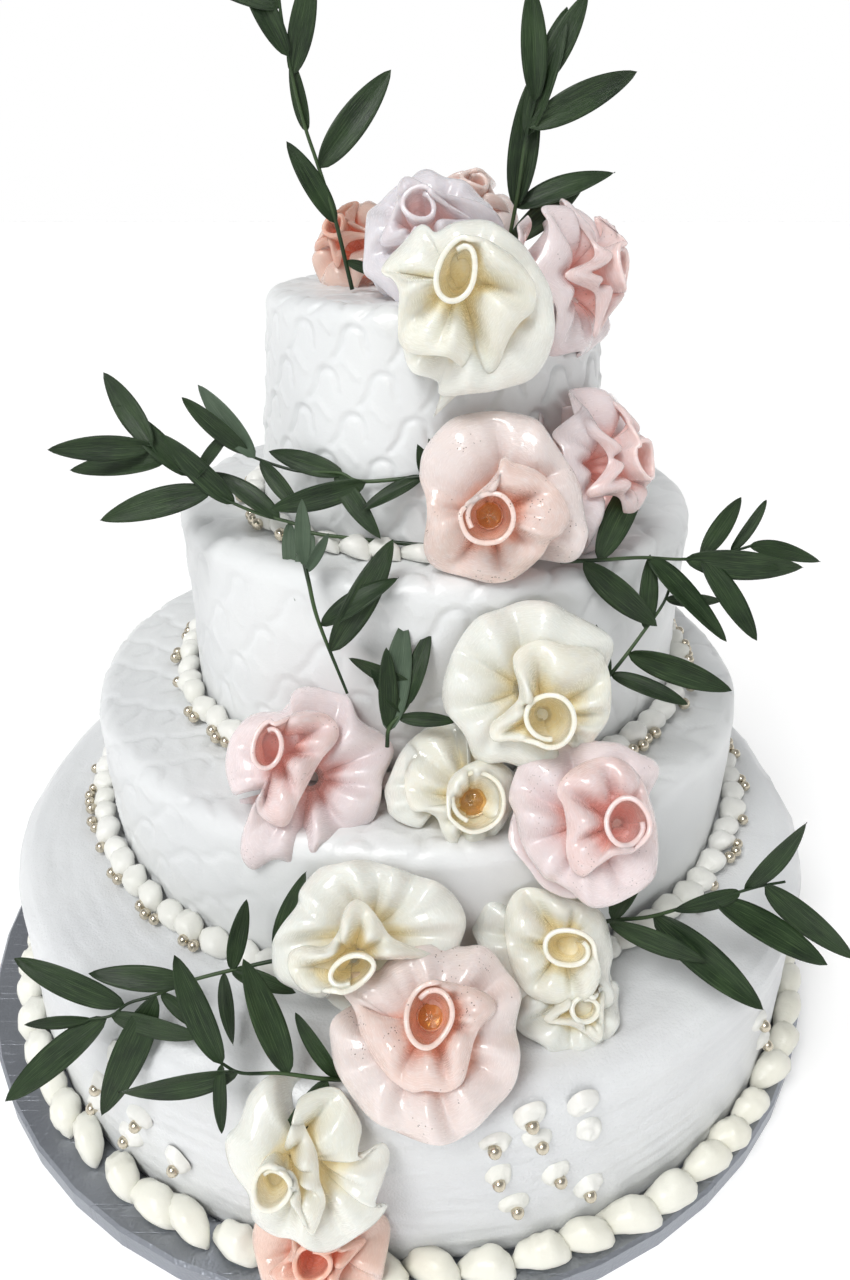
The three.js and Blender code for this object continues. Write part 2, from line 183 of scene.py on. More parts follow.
# %% [markdown]
# Rolled fondant is a sugar dough: cool white, satin rather than glossy, and faintly see-through, so
# light softens inside it. It is never quite even: thumbs and smoothers leave broad shallow waves
# and starch leaves duller patches. The pressed pattern itself is real relief in the mesh, further
# down, because a bump alone would vanish at the outline. Only the grain is left to the shader.


# %% Fondant and buttercream
def fondant_finish(name, white, shade, grain, gloss):
    finish = Finish(
        name, Subsurface_Weight=0.12, Subsurface_Scale=0.003, Subsurface_Radius=(1, 1, 1),
        Coat_Weight=0.25, Coat_Roughness=0.3)
    broad = finish.noise(14, detail=2)
    fine = finish.noise(900, detail=2)
    finish.feed("Base Color", finish.blend(finish.ramp(broad, (0.35, 0), (0.7, 1)), white, shade))
    finish.feed("Roughness", finish.ramp(broad + 0.15 * fine, (0.3, gloss), (0.8, gloss + 0.14)))
    finish.bump(fine + 1.5 * finish.noise(160, detail=3), grain)
    return finish.material


FONDANT = fondant_finish("fondant", paint(225, 227, 227), paint(217, 219, 220), 0.00012, 0.32)
BUTTERCREAM = fondant_finish(
    "smoothed_buttercream", paint(223, 225, 226), paint(213, 215, 217), 0.0003, 0.28)
PIPED_CREAM = fondant_finish("piped_cream", paint(233, 233, 229), paint(226, 226, 218), 0.00018, 0.4)
BOARD_CREAM = fondant_finish(
    "board_shell_cream", paint(236, 236, 227), paint(229, 227, 213), 0.00015, 0.32)
print("icings:", ", ".join(icing.name for icing in (FONDANT, BUTTERCREAM, PIPED_CREAM, BOARD_CREAM)))

# %% [markdown]
# The pearls are sugar beads with an edible silver glaze that has yellowed a little, so they are
# metal with a warm grey colour. The drum is a thick card wrapped in silver foil, which is embossed
# with a fine leathery grain and scratched by knives. Foil is metal as well, but its grain spreads
# the light until it looks almost like grey satin.

# %% Pearl glaze and silver foil
def pearl_finish():
    finish = Finish("pearl_glaze", Metallic=1.0)
    wear = finish.noise(420, detail=2)
    finish.feed("Base Color", finish.blend(wear, paint(226, 218, 200), paint(188, 178, 158)))
    finish.feed("Roughness", finish.ramp(wear, (0.3, 0.16), (0.75, 0.34)))
    return finish.material


def foil_finish():
    finish = Finish("silver_foil", Metallic=1.0)
    place = finish.position()
    grain = finish.add("TexVoronoi", {"feature": "SMOOTH_F1"}, {"Vector": place, "Scale": 700})
    broad = finish.noise(9, detail=3)
    stretch = {"Vector": place, "Rotation": (0, 0, 0.6), "Scale": (4, 160, 1)}
    stretched = finish.add("Mapping", None, stretch)
    scratch = finish.ramp(finish.noise(6, stretched, detail=4), (0.62, 0), (0.68, 1))
    clouds = finish.ramp(broad, (0.3, 0), (0.7, 1))
    tone = finish.blend(clouds, paint(146, 150, 158), paint(164, 168, 175))
    finish.feed("Base Color", finish.blend(0.25 * scratch, tone, paint(120, 122, 126)))
    finish.feed("Roughness", finish.ramp(broad, (0.3, 0.36), (0.7, 0.46)))
    finish.bump(grain - 0.5 * scratch, 0.0003, 0.7)
    return finish.material


PEARL_GLAZE = pearl_finish()
FOIL = foil_finish()
print("metals:", PEARL_GLAZE.name, "and", FOIL.name)

# %% [markdown]
# Every piece below is handed over in the same way: a mesh from points and faces, smooth shading, a
# material, the body it belongs to and the solid that it stands for.
# NumPy works out all the points of a piece at once, which is far quicker than a loop over points.

# %% Handing a piece over
def finished_piece(name, points, faces, material, slot_name, nodes, stored=None):
    """An object from points in metres and faces; stored holds one value a point for the finish."""
    mesh = bpy.data.meshes.new(name)
    mesh.vertices.add(len(points))
    mesh.vertices.foreach_set("co", np.ascontiguousarray(points, np.float32).ravel())
    corners = np.concatenate(list(faces))
    mesh.loops.add(len(corners))
    mesh.loops.foreach_set("vertex_index", corners.astype(np.int32))
    starts = np.cumsum([0] + [len(face) for face in faces])[:-1]
    mesh.polygons.add(len(starts))
    mesh.polygons.foreach_set("loop_start", starts.astype(np.int32))
    mesh.update(calc_edges=True)
    mesh.validate()
    mesh.polygons.foreach_set("use_smooth", np.ones(len(mesh.polygons), bool))
    for label, values in (stored or {}).items():
        layer = mesh.attributes.new(label, "FLOAT", "POINT")
        layer.data.foreach_set("value", np.ascontiguousarray(values, np.float32).ravel())
    mesh.materials.append(material)
    piece = bpy.data.objects.new(name, mesh)
    bpy.context.scene.collection.objects.link(piece)
    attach(piece, ROOT)
    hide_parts(*nodes)
    return piece


def grid_faces(rows, columns, closed=False, start=0):
    """Four-sided faces between the points of a grid, stored row by row; closed joins its sides."""
    column = np.arange(columns if closed else columns - 1)
    r, c = np.meshgrid(np.arange(rows - 1), column, indexing="ij")
    here, ahead = r * columns, (r + 1) * columns
    c_next = (c + 1) % columns
    return np.stack([here + c, here + c_next, ahead + c_next, ahead + c], axis=-1).reshape(-1, 4) + start


def about_z(turn):
    """A matrix that turns rows of points about +Z, from +X towards +Y."""
    return np.array([
        [math.cos(turn), math.sin(turn), 0], [-math.sin(turn), math.cos(turn), 0], [0, 0, 1]])


print("a grid of 3 by 4 points has", len(grid_faces(3, 4)), "faces")

# %% [markdown]
# Soft unevenness is needed on nearly every piece. A sum of a few waves of random direction and
# phase is smooth, costs little, and comes out the same in every run because the draw is seeded.

# %% Smooth random waves
def ripple(points, wavelength, seed, waves=7):
    """A smooth value between about -1 and 1 at each point."""
    draw = np.random.default_rng(seed)
    directions = draw.normal(size=(waves, points.shape[-1]))
    directions /= np.linalg.norm(directions, axis=1, keepdims=True)
    lengths = wavelength * draw.uniform(0.6, 1.6, waves)
    phases = draw.uniform(0, 2 * np.pi, waves)
    total = sum(
        np.sin(2 * np.pi * (points @ direction) / length + phase)
        for direction, length, phase in zip(directions, lengths, phases)
    )
    return total / math.sqrt(waves)


def ease(value, low, high):
    """0 below low, 1 above high, and a smooth step between."""
    share = np.clip((value - low) / (high - low), 0, 1)
    return share * share * (3 - 2 * share)


def groove(distance, width):
    """1 on a line and fading to 0 at a few widths from it, like a bell."""
    return np.exp(-((distance / width) ** 2))


print("a ripple along one line:", ripple(np.arange(4.0)[:, None], 3, 1).round(2))

# %% [markdown]
# ## The tiers
#
# A tier is a cylinder with a soft rim, so its skin is a profile turned about its axis. A Screw
# modifier could turn it, but the pattern pressed into the fondant has to follow the wall, so the
# skin is built as a fine grid whose points are then pushed in or out. The pattern is written once,
# as a height for any place on the unrolled wall, in millimetres.

# %% The pattern rolled into the fondant
ROW_PITCH = 17
MOTIF_PITCH = 27
ARCH_RADIUS = 5.2
LINE_WIDTH = 1.15
TAIL_SWEEP, TAIL_DROP = 4.2, 7.5
LEG_SPREAD, LEG_DROP = 1.6, 4
STROKE_REACH, STROKE_WIDTH = 4.2, 1.5


def motif(x, y):
    """Height of one motif at places about the middle of its arch, in mm. The arch has a tail that
    sweeps off to the left and a short leg at the right, all pressed in, and a raised stroke below."""
    arch = np.abs(np.hypot(x, y) - ARCH_RADIUS)
    arch = np.where(y > 0, arch, np.hypot(np.abs(x) - ARCH_RADIUS, y))
    tail_x = -ARCH_RADIUS - TAIL_SWEEP * ease(-y, 0, 9) - 0.25 * np.clip(-y - 5, 0, None)
    tail = np.hypot(np.abs(x - tail_x) * 0.8, np.clip(y, 0, None) + np.clip(-y - TAIL_DROP, 0, None))
    leg_x = ARCH_RADIUS + LEG_SPREAD * ease(-y, 0, 6)
    leg = np.hypot(np.abs(x - leg_x), np.clip(y, 0, None) + np.clip(-y - LEG_DROP, 0, None))
    sides = np.maximum(0.9 * groove(tail, 1.2), 0.7 * groove(leg, 1.1))
    along = (x + 1.0) * 0.75 - (y + 11.0) * 0.66
    across = (x + 1.0) * 0.66 + (y + 11.0) * 0.75
    stroke = np.hypot(across, np.clip(np.abs(along) - STROKE_REACH, 0, None))
    return 0.55 * groove(stroke, STROKE_WIDTH) - np.maximum(groove(arch, LINE_WIDTH), sides)


def pressed_pattern(around, height):
    """The rolled pattern's relief, from -1 to about 0.5, at places in mm on the wall."""
    relief = np.zeros(np.broadcast(around, height).shape)
    row = np.round(height / ROW_PITCH)
    for row_step in (0, 1):
        level = row + row_step
        shift = MOTIF_PITCH / 2 * (level % 2)
        for column_step in (-1, 0, 1):
            column = np.round((around - shift) / MOTIF_PITCH) + column_step
            x = around - shift - column * MOTIF_PITCH
            y = height - level * ROW_PITCH
            mark = motif(x, y)
            relief = np.where(np.abs(mark) > np.abs(relief), mark, relief)
    return relief


sample = pressed_pattern(np.arange(2.0 * MOTIF_PITCH), np.zeros(2 * MOTIF_PITCH))
print("deepest point of the pattern:", round(float(sample.min()), 2))

# %% [markdown]
# The four tiers share one builder. It takes the tier's sizes, a step length for the grid and a rule
# for the relief. Grid rows follow the profile from the foot, up the wall, round the rim and in to
# the middle of the top, and each row knows how far along the profile it is.

# %% A tier's skin
GAP = 0.3


def tier_profile(tier, step):
    """Radius, height and outward direction of each row, in mm."""
    rows = []
    foot, head, rim = tier["foot"] + GAP, tier["head"], tier["rim"]
    lean = math.atan2(tier["base"] - tier["top"], head - foot)
    wall = int((head - rim - foot) / step)
    for i in range(wall):
        share = i / wall
        radius = tier["base"] + (tier["top"] - tier["base"]) * share
        rows.append((radius, foot + (head - rim - foot) * share, lean))
    turn = max(8, int(rim * math.pi / 2 / step))
    for i in range(turn + 1):
        angle = math.pi / 2 * i / turn
        radius = tier["top"] - rim * (1 - math.cos(angle))
        rows.append((radius, head - rim * (1 - math.sin(angle)), angle))
    flat = tier["top"] - rim
    width = flat - tier["hidden"]
    count = max(2, int(width / step))
    rows += [(flat - width * i / count, head, math.pi / 2) for i in range(1, count + 1)]
    return np.array(rows)


def tier_skin(name, tier, step, relief, material):
    profile = tier_profile(tier, step)
    count = int(2 * np.pi * tier["top"] / step)
    angle = np.linspace(0, 2 * np.pi, count, endpoint=False)
    radius, height, lean = (profile[:, i, None] for i in range(3))
    length = np.concatenate([[0], np.cumsum(np.hypot(*np.diff(profile[:, :2], axis=0).T))])[:, None]
    lift = relief(angle[None, :], height, length, radius)
    out = radius + lift * np.cos(lean)
    up = height + lift * np.sin(lean)
    x = tier["centre"][0] + out * np.cos(angle)
    y = tier["centre"][1] + out * np.sin(angle)
    points = np.stack([x, y, np.broadcast_to(up, x.shape)], axis=-1).reshape(-1, 3)
    points[:, 2] = np.maximum(points[:, 2], tier["foot"] + GAP)
    faces = grid_faces(len(profile), count, closed=True)
    last = (len(profile) - 1) * count
    middle = len(points)
    middles = [[*tier["centre"], points[last:, 2].mean()], [*tier["centre"], tier["foot"] + GAP]]
    points = np.vstack([points, middles])
    ring = np.arange(count)
    cap = np.stack([last + ring, last + (ring + 1) % count, np.full(count, middle)], axis=1)
    sole = np.stack([(ring + 1) % count, ring, np.full(count, middle + 1)], axis=1)
    finished_piece(name, points * MM, [*faces, *cap, *sole], material, "fondant", [name])
    print(name, len(points), "points,", round(float(points[:, 2].max()), 1), "mm high")


# %% [markdown]
# Each tier has its own hand. The small top tier is rolled with the deep pattern and sags a little
# at the foot. On the second tier the dough was stretched over the edge, so the same pattern is faint
# and drawn out. The third keeps it on its top, with one long crease, and bulges softly in front. The
# bottom tier is smoothed buttercream, with long shallow strokes of the spatula.

# %% The four tiers
TIERS = {
    "tier_bottom": dict(base=214, top=214, foot=12, head=110, rim=16, centre=(7.5, -5), hidden=148),
    "tier_third": dict(base=172, top=172, foot=110, head=180, rim=9, centre=(11.5, 16), hidden=112),
    "tier_second": dict(base=128, top=128, foot=180, head=276, rim=9, centre=(20, 18), hidden=60),
    "tier_top": dict(base=82, top=75, foot=276, head=374, rim=8, centre=(19, 0), hidden=24),
}


def on_wall(angle, height, radius):
    """Places in space of a wall's points, for the ripples."""
    place = np.broadcast_arrays(radius * np.cos(angle), radius * np.sin(angle), height)
    return np.stack(place, axis=-1)


def top_relief(angle, height, length, radius):
    place = on_wall(angle, height, radius)
    depth = 0.75 + 0.25 * ripple(place, 70, 1)
    fade = 1 - 0.5 * ease(length, 96, 112)
    waves = 0.45 * ripple(place, 45, 2) + 0.12 * ripple(place, 14, 3)
    return 1.9 * depth * fade * pressed_pattern(angle * 79, length) + waves - 0.4


def second_relief(angle, height, length, radius):
    place = on_wall(angle, height, radius)
    stretched = pressed_pattern(angle * 128 / 1.25 + 3 * np.sin(length / 19), length * 0.82 + 4)
    depth = 0.95 + 0.5 * ripple(place, 90, 4)
    waves = 0.7 * ripple(place, 80, 5) + 0.16 * ripple(place, 22, 6)
    return np.clip(depth, 0.15, 1.6) * stretched + waves - 0.6


def third_relief(angle, height, length, radius):
    place = on_wall(angle, height, radius)
    on_top = ease(length, 62, 74)
    left = ease(-np.cos(angle), 0.2, 0.6)
    pattern = pressed_pattern(angle * 150 / 1.2 + 5 * np.sin(length / 13), length + 6 * np.sin(angle * 9))
    crease = groove(place[..., 1] - 96 - 0.25 * place[..., 0], 1.6) * on_top
    bulge = 2.2 * groove(np.sin((angle + np.pi / 2 + 0.15) / 2), 0.24) * groove(length - 30, 26)
    waves = 0.8 * ripple(place, 90, 8) + 0.2 * ripple(place, 26, 9)
    return pattern * (1.6 * on_top + 1.1 * left * (1 - on_top)) + bulge + waves - 0.8 * crease - 1.0


def bottom_relief(angle, height, length, radius):
    place = on_wall(angle, height, radius)
    combed = np.broadcast_arrays(angle * 21 + length / 2.4, length * 1.7)
    strokes = ripple(np.stack(combed, axis=-1), 9, 10, 12)
    ridges = ease(np.sin(angle + 0.9), 0.3, 0.9) * groove(np.sin(angle * 18 + length / 16), 0.22)
    waves = 0.9 * ripple(place, 120, 11) + 0.25 * ripple(place, 32, 12)
    return 0.3 * strokes + 0.6 * ridges + waves - 1.1


TIER_SKINS = {
    "tier_top": (1.05, top_relief, FONDANT),
    "tier_second": (1.7, second_relief, FONDANT),
    "tier_third": (2.0, third_relief, FONDANT),
    "tier_bottom": (2.6, bottom_relief, BUTTERCREAM),
}
for name, (step, relief, material) in TIER_SKINS.items():
    tier_skin(name, TIERS[name], step, relief, material)

# %% [markdown]
# ## The drum
#
# The drum's solid already has the right shape, a thick disc with a softened edge. So it stays, and
# only its material changes. Its sides catch less light because the foil is folded over there.

# %% The silver drum
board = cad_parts["board"]
board.data.materials.clear()
board.data.materials.append(FOIL)
print("drum across:", round(board.dimensions.x / MM), "mm")

# %% [markdown]
# ## Piped shells and pearls
#
# A round nozzle pressed against the cake gives a fat drop, and pulling it away draws the drop out
# into a tail. The next shell's head is pressed over that tail, and so on round the tier. One shell
# is a grid wrapped round a spine, and a ring is many shells that differ a little in length and
# turn. The solids were modelled with one swell for each shell, so the heads go on those swells.

# %% A piped shell
BORDERS = {
    "border_board": dict(tier="tier_bottom", pitch=22, width=13, height=16, stir=0.9, cream=BOARD_CREAM),
    "border_third": dict(tier="tier_third", pitch=15, width=12, height=10, stir=1.1, cream=PIPED_CREAM),
    "border_second": dict(tier="tier_second", pitch=15, width=11, height=10, stir=1.1, cream=PIPED_CREAM),
    "border_top": dict(tier="tier_top", pitch=14, width=10, height=9, stir=1.1, cream=PIPED_CREAM),
}
SHELL_STEPS = 16
SHELL_SIDES = 14
SHELL_RIDGES = 5


def piped_shell(length, width, height, stir, seed):
    """Points [x along from tail to head, y across, z up] of one shell that rests on z = 0."""
    along = np.linspace(0.012, 0.995, SHELL_STEPS)[:, None]
    around = np.linspace(0, 2 * np.pi, SHELL_SIDES, endpoint=False)[None, :]
    girth = np.sin(np.pi * along**1.25) ** 0.5
    side = np.sign(np.cos(around)) * np.abs(np.cos(around)) ** 0.8
    x = length * (along - 0.64) * np.ones_like(around)
    y = 0.5 * width * girth * side
    z = height * girth**0.85 * (1 + np.sin(around)) / 2
    points = np.stack([x, y, z], axis=-1)
    points *= 1 + stir * 0.05 * ripple(points, 7, seed)[..., None]
    crease = stir * 0.9 * ease(-along, -0.5, -0.1) * np.cos(around * SHELL_RIDGES + seed) * girth
    points[..., 1] += crease * np.cos(around)
    points[..., 2] += np.clip(crease * np.sin(around), 0, None)
    return points.reshape(-1, 3)


def shell_faces(start):
    """Faces of one shell whose points begin at start, with its tail and head closed."""
    faces = list(grid_faces(SHELL_STEPS, SHELL_SIDES, closed=True, start=start)[:, ::-1])
    tail = start + np.arange(SHELL_SIDES)
    head = tail + (SHELL_STEPS - 1) * SHELL_SIDES
    return faces + [tail, head[::-1]]


def pipe_border(name, border, seed):
    tier = TIERS[border["tier"]]
    draw = np.random.default_rng(seed)
    inner = tier["base"] + GAP
    count = round(2 * np.pi * (inner + border["width"] / 2) / border["pitch"])
    points, faces = [], []
    for i in range(count):
        size = draw.uniform(0.9, 1.12)
        shell = piped_shell(
            border["pitch"] * draw.uniform(1.15, 1.45), border["width"] * size,
            border["height"] * draw.uniform(0.86, 1.0), border["stir"], int(draw.integers(10_000)))
        turn = 2 * np.pi * (i + draw.uniform(-0.16, 0.16)) / count
        heading = turn + np.pi / 2 - math.radians(draw.uniform(8, 24))
        radius = inner + border["width"] * size / 2
        place = [*tier["centre"], tier["foot"] + GAP]
        place = np.array(place) + [radius * math.cos(turn), radius * math.sin(turn), 0]
        faces += shell_faces(sum(len(done) for done in points))
        points.append(shell @ about_z(heading) + place)
    finished_piece(name + "_shells", np.vstack(points) * MM, faces, border["cream"], "cream", [name])
    return count


for seed, (name, border) in enumerate(BORDERS.items()):
    print(name, pipe_border(name, border, 60 + seed), "shells")

# %% [markdown]
# The pearls lie against the shells in ones, twos and threes. Their places come from the same simple
# random rule that the solids use, and a second draw decides how many share each place.

# %% Sugar pearls
PEARL = 5.8
PEARL_SPACING = 26
PEARL_ARCS = {
    "border_third": [(-45, 238)],
    "border_second": [(-52, 230)],
    "border_top": [(-15, 195), (206, 232)],
}
PEARL_RINGS = 9
PEARL_SIDES = 12
GROUP_SIZES, GROUP_SHARES = [1, 2, 3, 4], [0.3, 0.35, 0.25, 0.1]


def seeded(seed):
    """Numbers from 0 to 1 that come out the same each time."""
    state = seed
    while True:
        state = state * 16807 % 2147483647
        yield state / 2147483647


def pearl_points():
    """Points of one pearl about its middle, ring by ring from its top."""
    down = np.linspace(0, np.pi, PEARL_RINGS)[:, None]
    around = np.linspace(0, 2 * np.pi, PEARL_SIDES, endpoint=False)[None, :]
    level = np.cos(down) * np.ones_like(around)
    ball = np.stack([np.sin(down) * np.cos(around), np.sin(down) * np.sin(around), level], axis=-1)
    return ball.reshape(-1, 3) * PEARL / 2


def scatter_pearls(name, places, slot_name, nodes):
    ball = pearl_points()
    faces = grid_faces(PEARL_RINGS, PEARL_SIDES, closed=True)[:, ::-1]
    points = np.concatenate([ball * size + place for place, size in places])
    faces = np.concatenate([faces + i * len(ball) for i in range(len(places))])
    finished_piece(name, points * MM, faces, PEARL_GLAZE, slot_name, nodes)
    print(name, len(places), "pearls")


steps = seeded(41)
groups = np.random.default_rng(12)
for name, arcs in PEARL_ARCS.items():
    tier = TIERS[BORDERS[name]["tier"]]
    radius = tier["base"] + GAP + BORDERS[name]["width"]
    places = []
    for start, stop in arcs:
        turn = math.radians(start)
        while turn < math.radians(stop):
            for i in range(groups.choice(GROUP_SIZES, p=GROUP_SHARES)):
                at = turn + i * 1.06 * PEARL / radius
                out = radius + groups.uniform(-0.6, 1.6)
                spot = [out * math.cos(at), out * math.sin(at), 0]
                low = tier["foot"] + GAP + PEARL / 2
                places.append((np.array([*tier["centre"], low]) + spot, groups.uniform(0.92, 1.04)))
            turn += PEARL_SPACING * (0.7 + 0.6 * next(steps)) / radius
    scatter_pearls("pearls_" + name.split("_")[1], places, "cream", [name])

# %% [markdown]
# On the bottom tier's wall a baker dabbed small dots of cream and pressed a pearl into most of
# them. A dab is a low dome with a curl where the nozzle left it.

# %% Cream dots on the bottom tier
DOT_WIDTH = 13
DOT_HEIGHT = 3.2
WALL_DOTS = [
    (-77, 100), (-71, 99), (-80.5, 89), (-76, 86), (-70, 82), (-80, 68), (-73.5, 60), (-69, 43),
    (-78, 47), (-41, 72), (-36, 42), (-124, 95), (-129, 63), (-131.5, 42), (-122.5, 60), (-125, 40),
    (-117.5, 44),
]
BARE_DOTS = [(-71, 99), (-70, 82)]
DOT_RINGS = 12
DOT_SIDES = 24
DOT_SUNK = 1.8
DOT_PEARL_SIZE = 0.98


def cream_dab(seed):
    """Points [x out of the wall, y, z] of one dab, its rim sunk a little into the wall."""
    out_share = np.linspace(0, 1, DOT_RINGS)[:, None]
    around = np.linspace(0, 2 * np.pi, DOT_SIDES, endpoint=False)[None, :]
    edge = 1 + 0.1 * np.sin(2 * around + seed) + 0.06 * np.sin(3 * around + 2.1 * seed)
    y = DOT_WIDTH / 2 * out_share * edge * np.cos(around)
    z = DOT_WIDTH / 2 * out_share * edge * np.sin(around)
    dome = (DOT_HEIGHT + 1.0) * np.sqrt(np.clip(1 - out_share**2.4, 0, 1)) * np.ones_like(around)
    swirl = 0.4 * np.cos(around - 5.5 * out_share + seed) * np.sin(np.pi * out_share)
    points = np.stack([dome + 1.6 * swirl - DOT_SUNK, y, z], axis=-1)
    points[..., 0] += 1.6 * ripple(points, 6, seed) * out_share * (1 - out_share)
    return points.reshape(-1, 3)


tier = TIERS["tier_bottom"]
dab_points, dab_faces, dab_pearls = [], [], []
for seed, (angle, height) in enumerate(WALL_DOTS):
    turn = math.radians(angle)
    swing = about_z(turn)
    place = np.array([tier["centre"][0] + tier["base"] * math.cos(turn),
                      tier["centre"][1] + tier["base"] * math.sin(turn), height])
    dab = cream_dab(seed)
    dab_faces.append(grid_faces(DOT_RINGS, DOT_SIDES, closed=True, start=seed * len(dab)))
    dab_points.append(dab @ swing + place)
    if (angle, height) not in BARE_DOTS:
        pearl = np.array([DOT_HEIGHT - 0.4, 1.2 * math.sin(2.4 * seed), -1.6]) @ swing + place
        dab_pearls.append((pearl, DOT_PEARL_SIZE))
dab_points, dab_faces = np.vstack(dab_points) * MM, np.vstack(dab_faces)
finished_piece("wall_dabs", dab_points, dab_faces, PIPED_CREAM, "fondant", ["tier_bottom"])
scatter_pearls("wall_pearls", dab_pearls, "fondant", ["tier_bottom"])

# %% [markdown]
# ## The roses
#
# A pulled-sugar rose starts as satin sugar, pulled until it shines like silk, rolled out as a long
# ribbon with one thick edge. The maker winds it round a finger for the mouth, turns back on the
# ribbon in a few folds, and lets the last turn flare as a ruffled skirt. So one rose is one ribbon:
# here it is a surface between two curves. The outer curve, the rim, first circles the mouth, then
# runs through the folds and round the skirt. The inner curve is gathered behind the heart. The
# surface between them bends along a Bezier curve, as warm sugar does. Petals could be modelled one
# by one instead, but they would lack the one line that runs through the whole flower.

# %% Sizes of the ribbon
RIBBON_THICKNESS = 1.0
RIM_THICKNESS = 1.4
MOUTH_RIM_THICKNESS = 2.0
TURNS_IN_MOUTH = 1.12
MOUTH_TIGHTENS = 0.24
COLUMNS = 396
ROWS = 13
CURVE_STEPS = 12


def bezier(share, first, second, third, fourth):
    """Places along a Bezier curve: it leaves first towards second and reaches fourth from third."""
    rest = 1 - share
    return (
        rest**3 * first + 3 * rest**2 * share * second
        + 3 * rest * share**2 * third + share**3 * fourth
    )


def through(points, samples):
    """A smooth curve through points, at even steps of its length."""
    ends = [2 * points[0] - points[1], *points, 2 * points[-1] - points[-2]]
    curve = []
    for before, start, stop, after in zip(ends, ends[1:], ends[2:], ends[3:]):
        for t in np.linspace(0, 1, CURVE_STEPS, endpoint=False):
            curve.append(0.5 * (
                2 * start + (stop - before) * t + (2 * before - 5 * start + 4 * stop - after) * t**2
                + (3 * start - before - 3 * stop + after) * t**3))
    curve = np.array([*curve, points[-1]])
    length = np.concatenate([[0], np.cumsum(np.linalg.norm(np.diff(curve, axis=0), axis=1))])
    even = np.linspace(0, length[-1], samples)
    return np.stack([np.interp(even, length, curve[:, axis]) for axis in range(3)], axis=1)


def facing(at, faces):
    """Right, up and outward directions of a piece that faces a way, and its place, in mm."""
    turn, lift = np.radians(faces)
    out = np.array([np.sin(turn) * np.cos(lift), -np.cos(turn) * np.cos(lift), np.sin(lift)])
    right = np.array([np.cos(turn), np.sin(turn), 0])
    return np.array([right, np.cross(out, right), out]), np.array(at, float)


print("middle points of one ribbon:", COLUMNS * ROWS)

# %% [markdown]
# The rim is a smooth curve through given points, read from the picture: across, up and out of
# the rose, in hundredths of its radius. It always enters as a spiral round the mouth. Where a rose
# is hidden or seen from its back, a rule winds the folds and the skirt instead.


# %% The rim's course
def mouth_spiral(rose):
    """Points of the rim inside the mouth, clockwise, up to the angle where it leaves."""
    x, y, wide, high, tilt = rose["mouth"]
    turns = np.linspace(-TURNS_IN_MOUTH, 0, 16)
    angle = math.radians(rose["leaves"]) - 2 * np.pi * turns
    size = 1 - MOUTH_TIGHTENS * turns**2
    across, up = wide * size * np.cos(angle), high * size * np.sin(angle)
    lean = math.radians(tilt)
    return np.stack([
        x + across * math.cos(lean) - up * math.sin(lean),
        y + across * math.sin(lean) + up * math.cos(lean),
        rose.get("stands", 64) + 5 * turns + 2.5 * np.sin(2 * angle),
    ], axis=1)


def wound_rim(rose, seed):
    """Folds and skirt by rule: four uneven folds, then ruffles, in hundredths of the radius."""
    draw = np.random.default_rng(seed)
    folds, skirt = [], []
    x, y = rose["mouth"][:2]
    angle = rose["leaves"] - 25
    for fold in range(8):
        far = fold % 2 == 0
        reach = draw.uniform(60, 78) if far else draw.uniform(30, 42)
        turn = math.radians(angle)
        folds.append((
            reach * math.cos(turn) + 0.5 * x, reach * math.sin(turn) + 0.5 * y,
            draw.uniform(16, 28) if far else draw.uniform(36, 44)))
        angle -= draw.uniform(34, 52)
    for ruffle in range(15):
        out = ruffle % 2 == 1
        reach = draw.uniform(92, 102) if out else draw.uniform(82, 90)
        turn = math.radians(angle)
        skirt.append((
            reach * math.cos(turn), reach * math.sin(turn),
            draw.uniform(-14, -6) if out else draw.uniform(4, 14)))
        angle -= draw.uniform(22, 30)
    return folds, skirt


def under_layer(last, seed, trail):
    """The ribbon's tail, wound once more below the skirt; trail is where it hangs out, how far."""
    draw = np.random.default_rng(seed + 5)
    start = math.atan2(last[1], last[0])
    angle = start - np.linspace(0.35, 6.2, 16)
    reach = draw.uniform(78, 92, 16)
    if trail:
        apart = (angle - math.radians(trail[0]) + np.pi) % (2 * np.pi) - np.pi
        reach += (trail[1] - reach) * groove(apart, 0.3)
    level = draw.uniform(-46, -34, 16)
    return np.stack([reach * np.cos(angle), reach * np.sin(angle), level], axis=1)


print("points in a mouth:", len(mouth_spiral({"mouth": (0, 0, 25, 30, 0), "leaves": 90})))

# %% [markdown]
# Each point of the rim has its own strip of ribbon behind it, which runs back towards the heart. In
# the mouth the strip drops straight down as a tube. In the folds it climbs out of the heart, rounds
# a high brow and droops to its rim, so a fold looks like a soft pillow and not like a funnel. The
# skirt's strips come from far behind the flower and spread out flat.


# %% From the rim to a surface
CREASE_DEPTH = 0.28
CREASE_WIDTH = 0.17
RIPPLE_DEPTH = 0.035
CRUMPLE_DEPTH = 0.012


def wound_creases(seed):
    """Directions in degrees of the deep folds that run out of the heart, where none are given."""
    draw = np.random.default_rng(seed + 9)
    return np.cumsum(draw.uniform(48, 78, 6)) + 40 * seed


